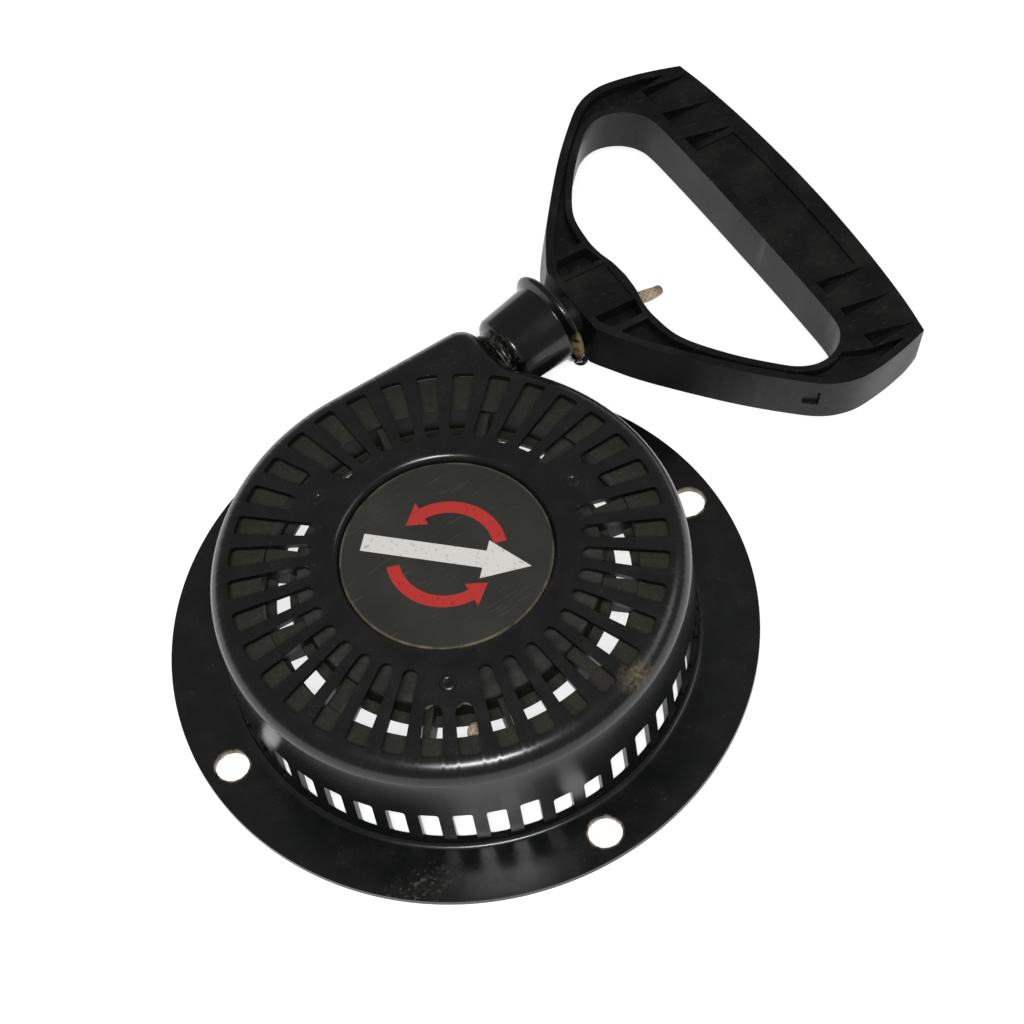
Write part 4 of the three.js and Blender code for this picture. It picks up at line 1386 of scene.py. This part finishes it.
def make_handle():
    """One moulding: hub with rope bore, two channelled arms and the grip with its thumb grooves."""
    outer = flat_spline(HANDLE_SIDE)
    half = HANDLE_HALF
    body = prism("loop_handle", mirrored(outer + flat_spline(GRIP_EDGE, 2.5)[1:]), -half, half)
    side_view = [(-10, half + 1), (116, half + 1), (116, half - 2), (113, 2), (108.6, -4.6), (104.5, -7.8),
                 (100, -half), (-10, -half)]
    profile = prism("side_view", side_view, -100, 100)
    move(profile, Matrix.Rotation(math.radians(90), 4, "X"))
    cut(body, profile, "INTERSECT")
    loop_half = flat_spline(LOOP_HALF)
    cut(body, prism("finger_loop", mirrored(loop_half), -half - 2, half + 2))

    rim_line = offset_line(outer, RIM_OUT)
    loop_line = offset_line(loop_half, -RIM_IN)
    channel = [p for p in rim_line if p[1] > CHANNEL_START and p[0] < 99]
    inner = [p for p in loop_line if p[1] > CHANNEL_START and p[0] < 76] + [(84, 70.2), (92, 71.2)]
    channel = [(channel[0][0], CHANNEL_START)] + channel + inner[::-1] + [(inner[0][0], CHANNEL_START)]
    tools = both_sides([channel], CHANNEL_DEPTH, "channel")
    tools += both_sides([HUB_POCKET], POCKET_DEPTH, "pocket")
    for root, tip in GROOVES:
        for side in (1, -1):
            tools += [groove_cutter(root * side, tip * side, face) for face in (1, -1)]
    cut(body, join("pockets", tools))
    pad = [(GROOVE_ROOT, 0), (GROOVE_ROOT, GRIP_PAD), (104.2, GRIP_PAD), (105.3, 20), (105.6, 0)]
    for face in (1, -1):
        low, high = sorted((face * (half - 0.7), face * (half + 2)))
        cut(body, prism("grip_pad", mirrored(pad), low, high))
        low, high = sorted((face * (half - 0.5), face * (half + 2)))
        cut(body, prism("hub_pad", mirrored(HUB_PAD), low, high))
    mark = lathe("ejector_mark", [(1.5, half - 1), (2.0, half - 1), (2.0, half + 1), (1.5, half + 1)], 40)
    cut(body, move(mark, Matrix.Translation((93.2, 4.3, 0))))
    notch = prism("gate_notch", [(54.5, -74), (59.5, -78), (60.6, -73.2), (56.0, -69.9)], -2.5, 4.0)
    cut(body, notch)
    along = aim((0, 0, 0), (1, 0, 0))
    bore = lathe("bore", [(0, -6), (2.8, -6), (2.8, 13), (5.6, 13), (5.6, 40), (0, 40)], 40)
    cut(body, move(bore, along))
    nose = lathe("nose", [(2.8, -4), (7.2, -4), (7.9, -3.5), (8.4, -2.6), (8.8, 7.5), (2.8, 7.5)], 72)
    cut(body, move(nose, along), "UNION")
    move(body, HANDLE_PLACE)
    soften(body, 0.55, segments=3, angle=38, weighted=False)
    smooth(body, 17)
    finish(body, handle_plastic, "handle_plastic", "grip", "handle")


# ---- clutch under the reel --------------------------------------------------------
def make_pawl_springs():
    """Torsion springs round the pawls' posts, each with a leg that rests on the reel."""
    for number, side in ((1, 0), (2, 180)):
        name = f"pawl_spring_{number}"
        bottom = cad(name)[0].z + 0.45
        coil = wire_coil(f"wire_pawl_spring_{number}", 3.9, 0.8, 1.75, bottom, 0.85, springy)
        line = spline([(-3.4, 0.6, 23.6), (-3.4, -3, 23.7), (-3.0, -6.5, 23.9), (-3.0, -9.4, 23.9)], 5)
        leg = sweep("leg", line, 0.4, 10)
        piece = join(f"wound_pawl_spring_{number}", [coil, leg])
        move(piece, Matrix.Rotation(math.radians(side), 4, "Z") @ Matrix.Translation((PAWL_PIVOT, 0, 0)))
        finish(smooth(piece, 50), springy, "spring_steel", "reel_assembly", name)


def make_brake_spring():
    """The compression spring that presses on the friction plate."""
    low, high = cad("brake_spring")
    spring = wire_coil("wound_brake_spring", 5.1, 0.9, 2.5, low.z + 0.45, high.z - low.z - 0.9, springy)
    finish(smooth(spring, 50), springy, "spring_steel", "housing_assembly", "brake_spring")


def make_centre_screw():
    """Hexagon screw with a washer face and a round shank, bored for the centring pin."""
    low, high = cad("centre_screw")
    head_top = 15.9
    head = prism("head", [tuple(polar(6.5, a).xy) for a in range(0, 360, 60)], low.z, head_top)
    cone = lathe("cone", [(0, low.z), (5.3, low.z), (6.9, low.z + 1.0), (6.9, head_top), (0, head_top)], 60)
    cut(head, cone, "INTERSECT")
    cut(head, lathe("pin_hole", [(0, 5), (2.0, 5), (2.0, 20), (0, 20)], 32))
    shank = lathe("shank", [(2.0, head_top - 0.2), (3.0, head_top - 0.2), (3.0, high.z - 0.6), (2.5, high.z),
                            (0, high.z), (0, 20), (2.0, 20)], 40)
    screw = join("hexagon_centre_screw", [head, shank])
    soften(screw, 0.2, angle=28)
    finish(screw, zinc, "zinc_steel", "housing_assembly", "centre_screw")


make_label()
make_rivets()
make_guide()
make_reel()
make_spring_cover()
make_recoil_spring()
make_winding()
make_anchor_knot()
make_lead()
make_tail()
make_handle()
make_pawl_springs()
make_brake_spring()
make_centre_screw()
for node in ("spindle_bracket", "spindle_post", "guide_clip", "pawl_retainer", "brake_washer"):
    dress(node, zinc)
for node in ("pawl_1", "pawl_2", "centring_pin"):
    dress(node, hardened)
